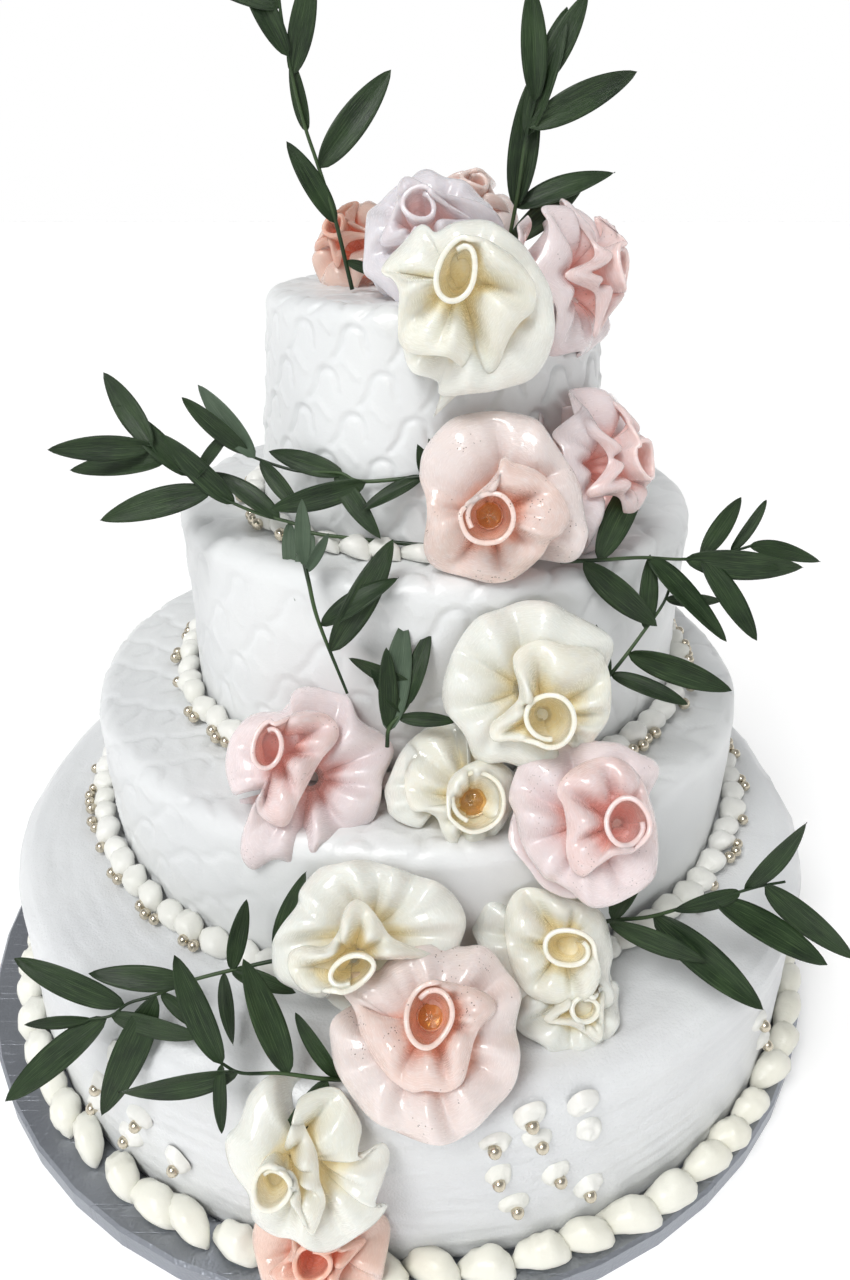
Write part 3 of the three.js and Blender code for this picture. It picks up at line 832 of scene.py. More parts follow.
def ribbon_surface(rose, seed):
    """Points of the ribbon's middle surface, [along, across, xyz], in shares of the radius."""
    spiral = mouth_spiral(rose)
    folds, skirt = (rose["folds"], rose["skirt"]) if "folds" in rose else wound_rim(rose, seed)
    under = under_layer(skirt[-1], seed, rose.get("trail"))
    rim = through(np.vstack([spiral, folds, skirt, under]) / 100, COLUMNS)
    steps = np.concatenate([[0], np.cumsum(np.linalg.norm(np.diff(rim, axis=0), axis=1))])
    mouth_end = steps[np.argmin(np.linalg.norm(rim - spiral[-1] / 100, axis=1))]
    skirt_start = steps[np.argmin(np.linalg.norm(rim - np.array(skirt[0]) / 100, axis=1))]
    skirt_end = steps[np.argmin(np.linalg.norm(rim - np.array(skirt[-1]) / 100, axis=1))]
    tube = (1 - ease(steps, mouth_end - 0.15, mouth_end + 0.45))[:, None]
    outer = ease(steps, skirt_start - 0.5, skirt_start + 0.2)[:, None]
    fold = (1 - tube) * (1 - outer)
    below = ease(steps, skirt_end - 0.2, skirt_end + 0.6)[:, None]
    skirt_share = outer * (1 - below)
    rim = rim + RIPPLE_DEPTH * outer * ripple(steps[:, None], 0.8, seed)[:, None] * [0.3, 0.3, 1.0]

    centre = np.array(rose["mouth"][:2]) / 100 * (1 - outer)
    away = rim[:, :2] - centre
    reach = np.linalg.norm(away, axis=1, keepdims=True)
    away = away / (reach + 1e-9)
    height = rim[:, 2:]
    back = -0.9 * rose["back"] / (rose["size"] / 2)

    def across_strip(*kinds):
        """A point of every strip: in the mouth, in the folds, in the skirt and below it."""
        shares = (tube, fold, skirt_share, below)
        radius = sum(share * kind[0] for share, kind in zip(shares, kinds))
        level = sum(share * kind[1] for share, kind in zip(shares, kinds))
        return np.concatenate([centre + away * radius, level], axis=1)[:, None]

    low = across_strip((0.3 * reach, -0.1), (0.08 + 0.08 * reach, -0.15), (0.1, -0.3), (0.3, back))
    neck = across_strip(
        (0.85 * reach, 0.1), (0.2 + 0.12 * reach, height - 0.02), (0.3, 0.22), (0.5, -0.7))
    brow = across_strip(
        (0.97 * reach, height - 0.25), (0.72 * reach, height + 0.3), (0.86 * reach, height + 0.26),
        (0.8 * reach, -0.3))
    across = np.linspace(0, 1, ROWS) ** 0.85
    share = across[None, :, None]
    surface = bezier(share, low, neck, brow, rim[:, None])

    turn = np.arctan2(away[:, 1], away[:, 0])
    valley = np.zeros(COLUMNS)
    for crease in rose.get("creases") or wound_creases(seed):
        apart = (turn - math.radians(crease) + np.pi) % (2 * np.pi) - np.pi
        valley = np.maximum(valley, groove(apart, CREASE_WIDTH))
    puff = 0.35 - valley + 0.12 * np.sin(5 * turn + seed)
    amount = CREASE_DEPTH * (fold + 0.55 * skirt_share)[:, 0] * puff
    surface[..., 2] += amount[:, None] * np.sin(np.pi * across**0.8)[None, :]
    crumple = [ripple(surface.reshape(-1, 3), 0.6, seed + 2 + i, 6) for i in range(3)]
    surface = surface + CRUMPLE_DEPTH * np.stack(crumple, axis=-1).reshape(surface.shape) * share
    return surface, steps, across, outer[:, 0]


print("creases by rule, in degrees:", wound_creases(1).round())

# %% [markdown]
# The middle surface becomes a ribbon with two sides. Each side lies half a thickness along the
# surface's normal, and the rim between them is rounded by a half circle of extra rows. Every cross
# section of the ribbon is then a closed loop of points, and the whole ribbon is a tube of such
# loops with a cap at each end. A Solidify modifier would do the sides, but not the thick round rim.


# %% From a surface to a ribbon with a rolled rim
def ribbon_mesh(surface, thickness):
    """Points and faces of a closed ribbon, [along, loop, xyz]."""
    along = np.gradient(surface, axis=0)
    across = np.gradient(surface, axis=1)
    normal = np.cross(along, across)
    normal /= np.linalg.norm(normal, axis=-1, keepdims=True) + 1e-12
    outward = across[:, -1] / (np.linalg.norm(across[:, -1], axis=-1, keepdims=True) + 1e-12)
    half = thickness[:, :, None] / 2
    front = surface + normal * half
    back = surface - normal * half
    bead = [
        surface[:, -1] + half[:, -1] * (normal[:, -1] * math.cos(a) + outward * math.sin(a))
        for a in np.radians([30, 60, 90, 120, 150])
    ]
    loop = np.concatenate([front, np.stack(bead, axis=1), back[:, ::-1]], axis=1)
    columns, rows = loop.shape[:2]
    faces = grid_faces(columns, rows, closed=True)[:, ::-1]
    row = np.arange(surface.shape[1] - 1)
    cap = np.stack([row, row + 1, rows - 2 - row, rows - 1 - row], axis=1)
    bead_rows = np.arange(surface.shape[1] - 1, rows - surface.shape[1] + 1)
    last = (columns - 1) * rows
    return loop, [*faces, *cap[:, ::-1], *(cap + last), bead_rows[::-1], bead_rows + last]


# %% [markdown]
# Satin sugar is pulled and folded over and over, which fills it with fine air threads. They run
# along the ribbon, so the sheen is streaked along it, and the thin skin passes some light. The thick
# rim looks almost white. The colour is darkened and warmed by painted shade in the deep folds, and
# the same colour is painted in there as a faint glow, for light bounced from sugar to sugar. The mesh
# stores how far across the ribbon each point lies, and the colour follows.


# %% Satin sugar
def sugar_finish(name, rim, body, fold_shade, specks):
    """Satin sugar from its rim and body colours and the colour of its painted fold shade and glow; specks
    is the strength of the brown specks.
    """
    finish = Finish(
        name, Subsurface_Weight=0.45, Subsurface_Scale=0.007, Subsurface_Radius=(1, 0.75, 0.65),
        Coat_Weight=0.8, Coat_Roughness=0.06, Emission_Strength=0.15,
    )
    across, along = finish.stored("across"), finish.stored("along")
    threads = finish.noise(1.0, finish.vector(across * 70, along * 1.6), detail=3, roughness=0.6)
    bands = finish.noise(1.0, finish.vector(across * 9, along * 1.1), detail=2)
    cloud = finish.noise(60, detail=2)
    # Painted shade: the fold colour is laid where a point sees little open sky, less of it near the rim.
    depth = finish.ramp(finish.stored("sky") + 0.2 * (cloud - 0.5), (0.04, 1), (0.52, 0))
    depth = depth * finish.ramp(across, (0.5, 0.9), (0.95, 0.5))
    colour = finish.blend(0.65 * finish.stored("skirt"), body, rim)
    colour = finish.blend(depth, colour, fold_shade)
    colour = finish.blend(0.2 * finish.ramp(threads, (0.5, 0), (0.7, 1)), colour, rim)
    colour = finish.blend(0.5 * finish.ramp(bands, (0.45, 0), (0.75, 1)), colour, rim)
    edge = 0.4 * finish.stored("skirt") * finish.ramp(across, (0.86, 0), (0.97, 1))
    colour = finish.blend(edge, colour, rim)
    if specks:
        spots = finish.add("TexVoronoi", None, {"Vector": finish.position(), "Scale": 620})
        patch = finish.ramp(finish.noise(75, detail=1), (0.56, 0), (0.62, 1))
        fleck = finish.ramp(spots, (0.16, 1), (0.2, 0)) * patch
        colour = finish.blend(specks * fleck, colour, SPECK_BROWN)
    finish.feed("Base Color", colour)
    # Painted glow: the deep folds emit their fold shade colour, at the Emission Strength set above,
    # though they are no lamp.
    finish.feed("Emission Color", finish.blend(depth, (0, 0, 0), fold_shade))
    finish.feed("Roughness", finish.ramp(threads + 0.4 * (cloud - 0.5), (0.35, 0.18), (0.7, 0.34)))
    finish.bump(threads + 0.8 * cloud, 0.0004, 0.8)
    return finish.material


# Each tint lists its rim colour, its body colour and the colour of the painted shade and glow in its deep
# folds.
SUGAR_COLOURS = {
    "ivory": [(239, 238, 229), (238, 234, 217), (238, 219, 168)],
    "blush": [(239, 224, 220), (235, 205, 195), (234, 164, 138)],
    "pink": [(238, 222, 223), (234, 204, 200), (232, 168, 157)],
    "lilac": [(230, 224, 229), (226, 215, 219), (230, 194, 190)],
    "coral": [(240, 206, 192), (236, 176, 156), (228, 134, 108)],
}
SPECKS = {"blush": 0.8, "pink": 0.4}
SPECK_BROWN = paint(96, 62, 52)
SUGAR = {
    tint: sugar_finish(tint + "_sugar", *[paint(*colour) for colour in colours], SPECKS.get(tint, 0))
    for tint, colours in SUGAR_COLOURS.items()
}
print("sugars:", ", ".join(SUGAR))

# %% [markdown]
# The seventeen roses repeat the places, facings and sizes of their solids. Each mouth is an oval:
# its middle, half its width and height, and its tilt. Where a rose lists its folds and its skirt,
# its rim was followed one point at every bend, and the creases are directions in degrees.

# %% The seventeen roses
ROSES = {
    "rose_blush_front": dict(
        at=(16, -204, 130), faces=(0, 51), size=72, back=36, mouth=(4, 25, 24, 31, -8), leaves=95,
        creases=[40, -20, -75, -120, 165, 100],
        folds=[(23, 55, 46), (51, 50, 40), (68, 40, 32), (68, 28, 32), (54, 16, 40), (46, -1, 42),
            (42, -18, 40), (35, -35, 34), (21, -43, 30), (0, -40, 34), (-16, -42, 29), (-37, -33, 28),
            (-54, -14, 26), (-66, 9, 24), (-72, 29, 20)],
        skirt=[(-86, 50, 10), (-90, 64, 0), (-53, 71, 8), (-39, 82, 2), (-7, 93, 10), (23, 98, -2),
            (61, 92, 8), (88, 68, -4), (96, 43, 8), (93, 12, -6), (96, -14, 8), (84, -44, -6),
            (58, -72, 6), (33, -88, -6), (10, -93, 6), (-23, -84, -6), (-49, -74, 6), (-70, -55, -6),
            (-88, -33, 4), (-97, -6, -6), (-95, 24, 2)]),
    "rose_blush_middle": dict(
        at=(47, -96, 307), faces=(-5, 19), size=67, back=34, mouth=(-19, -21, 30, 30, 0), leaves=170,
        creases=[28, -30, -75, -120, 175, 100],
        folds=[(-31, 5, 50), (-17, 16, 50), (-8, 28, 47), (-3, 43, 42), (7, 36, 42), (33, 29, 42),
            (56, 9, 36), (71, -17, 26), (63, -36, 34), (50, -45, 38), (39, -68, 20), (23, -87, 5),
            (-3, -97, 2), (-36, -94, 0), (-76, -86, -6), (-91, -66, 5), (-89, -33, 20), (-92, -5, 10)],
        skirt=[(-101, 23, -6), (-92, 58, 2), (-59, 88, -2), (-12, 96, 6), (28, 89, 0), (52, 63, 6),
            (71, 37, -4), (85, 7, 2), (92, -24, -8), (93, -47, 0), (80, -70, -10)]),
    "rose_ivory_top": dict(
        trail=(-112, 132), at=(31, -88, 377), faces=(-3, 14), size=63, back=32,
        mouth=(-11, 29, 22, 34, -16), leaves=80,
        creases=[-12, -72, -104, 180, 215, 120],
        folds=[(20, 58, 56), (44, 45, 50), (70, 19, 38), (70, -6, 28), (55, -21, 40), (44, -43, 30),
            (33, -68, 12), (16, -76, 8), (-5, -67, 18), (-23, -58, 34), (-56, -53, 25), (-75, -39, 14),
            (-77, -15, 26), (-75, 12, 36), (-84, 27, 20), (-99, 38, 0)],
        skirt=[(-80, 62, -6), (-58, 85, -8), (-40, 74, 4), (-16, 87, 10), (14, 88, 4), (33, 80, 12),
            (70, 52, 2), (86, 27, 8), (95, 5, 0), (99, -21, 6), (93, -52, -4), (77, -77, 2),
            (51, -90, -6), (5, -96, 2), (-28, -98, -8), (-34, -84, -14)]),
    "rose_ivory_second": dict(
        at=(56, -125, 237), faces=(-2, 27), size=70, back=36, mouth=(18, -28, 28, 28, 0), leaves=240,
        creases=[30, 0, -28, -55, 150, 100, 200],
        folds=[(-22, -50, 46), (-41, -51, 40), (-41, -36, 40), (-25, -22, 46), (-11, -8, 50),
            (-11, 11, 48), (-16, 30, 42), (-13, 44, 36), (11, 55, 30), (43, 51, 26), (74, 45, 10),
            (87, 30, -2), (91, -1, 8), (91, -31, -2), (76, -52, 8), (57, -74, -2), (34, -92, 2),
            (14, -98, 4)],
        skirt=[(-22, -78, 8), (-53, -81, -8), (-69, -52, 6), (-90, -22, -6), (-93, 11, 4), (-81, 46, -6),
            (-53, 82, 4), (-10, 96, -2), (34, 95, 4), (71, 75, 0), (97, 49, -10)]),
    "rose_pink_right": dict(
        at=(78, -157, 196), faces=(-4, 40), size=64, back=36, mouth=(38, 0, 25, 30, 0), leaves=330,
        stands=70,
        creases=[105, 150, 200, 250, -60, 60],
        folds=[(46, -30, 52), (25, -35, 48), (8, -49, 38), (-6, -60, 30), (-19, -52, 32), (-27, -30, 42),
            (-28, -2, 46), (-31, 19, 42), (-37, 35, 34), (-27, 56, 28), (-5, 72, 22), (21, 77, 26),
            (46, 70, 18), (66, 47, 16), (75, 22, 8), (83, -10, 4)],
        skirt=[(85, -36, -2), (75, -66, -6), (46, -85, 4), (16, -96, -6), (-5, -88, 4), (-31, -70, -4),
            (-55, -61, 6), (-71, -32, -4), (-85, 2, 6), (-92, 32, -4), (-75, 75, 4), (-31, 96, -4),
            (16, 98, 2), (55, 90, -2), (87, 68, -12)]),
    "rose_pink_left": dict(
        at=(-33, -126, 195), faces=(4, 37), size=74, back=38, mouth=(-39, 34, 17, 27, -14), leaves=70,
        creases=[-12, -60, -100, 20, 60, 150],
        folds=[(-3, 70, 44), (19, 68, 38), (32, 56, 33), (32, 40, 35), (15, 19, 42), (1, -4, 45),
            (-10, -27, 42), (-21, -45, 36), (-34, -48, 32), (-50, -39, 30), (-58, -30, 28)],
        skirt=[(-68, -50, 12), (-77, -80, -6), (-66, -97, -10), (-41, -88, 2), (-13, -97, -8),
            (3, -87, 6), (15, -71, 16), (43, -64, 0), (64, -54, -6), (78, -29, 6), (85, 1, 12),
            (93, 26, -6), (82, 47, 6), (57, 65, 14), (41, 95, -6), (10, 101, -2), (-15, 93, 8),
            (-22, 77, 16), (-57, 73, 0), (-82, 51, 6), (-93, 17, -6), (-82, -15, 8)]),
    "rose_ivory_centre": dict(
        at=(26, -132, 193), faces=(4, 36), size=55, back=34, mouth=(30, -15, 44, 44, 0), leaves=200,
        creases=[170, 215, 250, -60, 100],
        folds=[(-6, 12, 56), (20, 34, 54), (47, 42, 46), (74, 36, 34), (90, 15, 24), (90, -14, 18),
            (76, -49, 12), (52, -81, 4), (25, -93, 2), (1, -85, 8), (-13, -62, 22), (-21, -38, 34),
            (-40, -27, 34), (-59, -23, 24), (-68, 2, 18), (-67, 34, 12), (-56, 71, 0), (-30, 90, 8),
            (0, 97, -4), (28, 84, 8)],
        skirt=[(-20, 98, -16), (-70, 60, -6), (-92, 10, -14), (-94, -17, -8), (-90, -34, -14),
            (-69, -46, -4), (-48, -50, -10)]),
    "rose_ivory_third": dict(
        at=(-7, -173, 153), faces=(2, 38), size=76, back=38, mouth=(-17, -25, 24, 15, 18), leaves=215,
        creases=[40, 75, 0, 110, 180, 300],
        folds=[(-59, -45, 36), (-76, -30, 28), (-77, -12, 28), (-62, -5, 36), (-39, -3, 42),
            (-26, 10, 46), (-21, 28, 47), (-12, 40, 46), (-1, 37, 46), (11, 20, 46), (23, 4, 42),
            (47, -7, 34), (70, -20, 22)],
        skirt=[(80, -34, 8), (93, -12, 0), (98, 15, 6), (90, 38, -2), (70, 52, 14), (47, 60, 2),
            (25, 68, 14), (0, 74, 2), (-25, 75, 12), (-50, 68, 0), (-66, 50, 12), (-72, 30, 2),
            (-88, 10, 6), (-98, -10, -6), (-93, -35, 4), (-75, -52, -6), (-45, -57, 0)]),
    "rose_ivory_right": dict(
        trail=(-40, 120), at=(64, -163, 141), faces=(-6, 42), size=57, back=36,
        mouth=(31, -6, 35, 25, -4), leaves=0, stands=72,
        creases=[130, 180, 230, 280, 80],
        folds=[(75, -39, 42), (63, -66, 28), (34, -79, 22), (5, -81, 20), (-20, -72, 24), (-39, -47, 32),
            (-49, -17, 34), (-55, 13, 28), (-53, 41, 22), (-37, 65, 16), (0, 67, 22), (40, 54, 18),
            (74, 46, 6)],
        skirt=[(94, 19, -4), (97, -12, -12), (92, -45, -8), (99, -78, -20), (60, -99, -10),
            (20, -103, -20), (-30, -98, -10), (-75, -62, -18), (-95, -10, -6), (-99, 30, -14),
            (-85, 58, -6)]),
    "rose_ivory_low": dict(
        at=(-29, -226, 91), faces=(2, 34), size=66, back=34, mouth=(-30, 3, 20, 23, 0), leaves=90,
        creases=[50, -20, -60, 10, 100, -110],
        folds=[(-13, 12, 52), (-6, -7, 50), (-2, -31, 42), (8, -59, 32), (19, -37, 34), (22, -18, 38),
            (17, 0, 42), (12, 30, 40), (-6, 72, 26), (15, 85, 20), (39, 84, 16), (53, 68, 22),
            (62, 45, 18), (60, 17, 26)],
        skirt=[(85, 20, 6), (92, 6, 0), (84, -14, 10), (76, -37, 16), (88, -49, -2), (62, -72, 4),
            (28, -95, -6), (8, -89, 4), (-13, -77, 8), (-38, -73, -2), (-58, -52, 6), (-65, -26, 10),
            (-85, -1, -2), (-91, 29, 4), (-74, 49, 10), (-60, 81, -4), (-38, 96, -6)]),
    "rose_coral_low": dict(
        at=(-27, -227, 40), faces=(0, 36), size=58, back=30, mouth=(0, 5, 26, 24, 10), leaves=40),
    "rose_pink_side": dict(
        at=(88, -62, 308), faces=(52, 16), size=70, back=34, mouth=(6, 4, 20, 26, 20), leaves=100),
    "rose_pink_edge": dict(
        at=(75, -42, 379), faces=(58, 14), size=64, back=34, mouth=(20, 5, 18, 30, -12), leaves=90),
    "rose_lilac_top": dict(
        at=(18, -40, 394), faces=(-4, 30), size=60, back=34, mouth=(-12, 20, 22, 22, 0), leaves=30),
    "rose_blush_back": dict(
        at=(34, -6, 403), faces=(20, 62), size=46, back=40, mouth=(0, 0, 26, 26, 0), leaves=60),
    "rose_coral_back": dict(
        at=(-17, 2, 389), faces=(-38, 34), size=44, back=30, mouth=(0, 10, 26, 24, 0), leaves=120),
    "rose_ivory_tucked": dict(
        at=(74, -176, 120), faces=(14, 44), size=46, back=26, mouth=(10, -10, 26, 22, 0), leaves=50),
}


# %% [markdown]
# The finish paints shade and a faint glow where a fold is deep, so it has to know how deep each
# point lies. Baking an ambient occlusion image could tell it, but it would need an image. Here each
# point sends out a few rays, counts those that reach open sky, and the mesh keeps that share for the
# finish to read.

# %% Winding the roses
SKY_RAYS = 18
RAY_REACH = 3.0
RAY_START = 0.04
WHOLE_SIDE = 1.05


def openness(surface, side):
    """Share of open sky seen from each point of one side of the ribbon, [along, across]."""
    columns, rows = surface.shape[:2]
    points = surface.reshape(-1, 3)
    tree = BVHTree.FromPolygons(points.tolist(), grid_faces(columns, rows).tolist())
    normal = np.cross(np.gradient(surface, axis=0), np.gradient(surface, axis=1)) * side
    normal /= np.linalg.norm(normal, axis=-1, keepdims=True) + 1e-12
    rays = np.random.default_rng(3).normal(size=(SKY_RAYS, 3))
    rays /= np.linalg.norm(rays, axis=1, keepdims=True)
    seen = np.zeros((columns, rows))
    for column in range(0, columns, 2):
        for row in range(rows):
            start = surface[column, row] + normal[column, row] * RAY_START
            aims = rays + WHOLE_SIDE * normal[column, row]
            hits = sum(tree.ray_cast(start, aim, RAY_REACH)[0] is not None for aim in aims)
            seen[column:column + 2, row] = 1 - hits / SKY_RAYS
    for step in (1, 2, 3):
        seen = (seen + np.roll(seen, step, 0) + np.roll(seen, -step, 0)) / 3
    return seen


def wind_rose(name, rose, seed):
    """One rose as one ribbon, with what its finish needs stored in the mesh."""
    surface, steps, across, outer = ribbon_surface(rose, seed)
    # How much open sky each side of the ribbon sees, for the painted fold shade and glow.
    open_front, open_back = openness(surface, 1), openness(surface, -1)
    radius = rose["size"] / 2
    basis, place = facing(rose["at"], rose["faces"])
    surface = surface * radius @ basis + place
    thinner = (RIM_THICKNESS - MOUTH_RIM_THICKNESS) * ease(steps, 1.4, 3.4)
    rim_thickness = MOUTH_RIM_THICKNESS + thinner
    thicker = ease(across, 0.72, 1.0)[None, :]
    thickness = RIBBON_THICKNESS + (rim_thickness[:, None] - RIBBON_THICKNESS) * thicker
    loop, faces = ribbon_mesh(surface, thickness)
    rows = loop.shape[1]
    bead = rows - 2 * ROWS
    share = np.concatenate([across, np.ones(bead), across[::-1]])
    open_rim = np.repeat(open_front[:, -1:], bead, 1)
    sky = np.concatenate([open_front, open_rim, open_back[:, ::-1]], axis=1)
    stored = {
        "across": np.tile(share, COLUMNS),
        "along": np.repeat(steps * radius / 6, rows) + seed,
        "sky": sky.ravel(),
        "skirt": np.repeat(outer, rows),
    }
    tint = name.split("_")[1]
    points = loop.reshape(-1, 3) * MM
    piece = finished_piece(name + "_ribbon", points, faces, SUGAR[tint], "sugar_" + tint, [name], stored)
    return len(piece.data.polygons)


for seed, (name, rose) in enumerate(ROSES.items()):
    print(name, wind_rose(name, rose, 20 + 7 * seed), "faces")

# %% [markdown]
# A little clear amber syrup has run into three of the hearts. Each is a shallow pool with a domed
# top, glossy and half transparent. A grid of rings, drawn in to a point above and below, is enough
# for so small a piece, where a fluid simulation would only make it slower.

# %% Amber syrup
SYRUP = Finish(
    "amber_syrup", Roughness=0.04, Transmission_Weight=0.75, IOR=1.46, Coat_Weight=1.0,
    Coat_Roughness=0.02)
SYRUP.feed("Base Color", SYRUP.blend(SYRUP.noise(160), paint(244, 202, 120), paint(226, 160, 70)))
SYRUP_POOLS = {"rose_blush_middle": 0.17, "rose_ivory_centre": 0.26, "rose_blush_front": 0.15}
POOL_RINGS, POOL_SIDES = 7, 24
POOL_LEVEL, POOL_DOME = 0.1, 0.05
for name, share in SYRUP_POOLS.items():
    rose = ROSES[name]
    basis, place = facing(rose["at"], rose["faces"])
    radius = rose["size"] / 2
    upper, lower = np.linspace(0.001, 1, POOL_RINGS), np.linspace(0.98, 0.001, POOL_RINGS)
    out = np.concatenate([upper, lower])[:, None]
    dome = np.repeat([1, -1], POOL_RINGS)[:, None] * np.sqrt(np.clip(1 - out**2, 0, 1))
    turn = np.linspace(0, 2 * np.pi, POOL_SIDES, endpoint=False)[None, :]
    x = rose["mouth"][0] / 100 + share * out * np.cos(turn)
    y = rose["mouth"][1] / 100 + share * out * np.sin(turn)
    z = POOL_LEVEL + POOL_DOME * dome + 0.012 * np.sin(3 * turn) * (1 - out)
    pool = np.stack([x, y, z], axis=-1).reshape(-1, 3) * radius @ basis + place
    faces = grid_faces(2 * POOL_RINGS, POOL_SIDES, closed=True)
    slot_name = "sugar_" + name.split("_")[1]
    finished_piece(name + "_syrup", pool * MM, faces, SYRUP.material, slot_name, [name])
print("syrup in", len(SYRUP_POOLS), "hearts")

# %% [markdown]
# ## The sprigs
#
# The sprigs are florist's ruscus: thin woody stems with stiff leaves, dark and satiny above, greyer
# below, with veins that run from end to end side by side. The stems and leaf places are written as
# seen from a little above the front, which is how they were read from the picture. A leaf is a thin
# blade folded along its middle, and it grows from the stem in its own direction.

# %% Leaf and stem finish
def leaf_finish(name, dark, light, vein):
    finish = Finish(name, Coat_Weight=0.12, Coat_Roughness=0.3, Specular_IOR_Level=0.3)
    across, along = finish.stored("across"), finish.stored("along")
    veins = finish.noise(1.0, finish.vector(across * 26, along * 0.9, along * 0.4), detail=2)
    patches = finish.noise(70, detail=3)
    colour = finish.blend(finish.ramp(patches, (0.35, 0), (0.7, 1)), dark, light)
    colour = finish.blend(0.5 * finish.ramp(veins, (0.5, 0), (0.66, 1)), colour, vein)
    finish.feed("Base Color", colour)
    finish.feed("Roughness", finish.ramp(patches + 0.4 * (veins - 0.5), (0.3, 0.34), (0.75, 0.52)))
    finish.bump(veins, 0.0004, 0.8)
    return finish.material


LEAF_TOP = leaf_finish("leaf_top", paint(18, 37, 15), paint(36, 58, 27), paint(78, 100, 62))
LEAF_UNDER = leaf_finish("leaf_underside", paint(66, 84, 66), paint(84, 102, 82), paint(106, 122, 100))
print("leaf finishes:", LEAF_TOP.name, "and", LEAF_UNDER.name)

# %% [markdown]
# A stem is a smooth curve through its points. The Catmull-Rom rule passes exactly through every
# point, which a Bezier curve would not, so the leaves stay where they were measured.

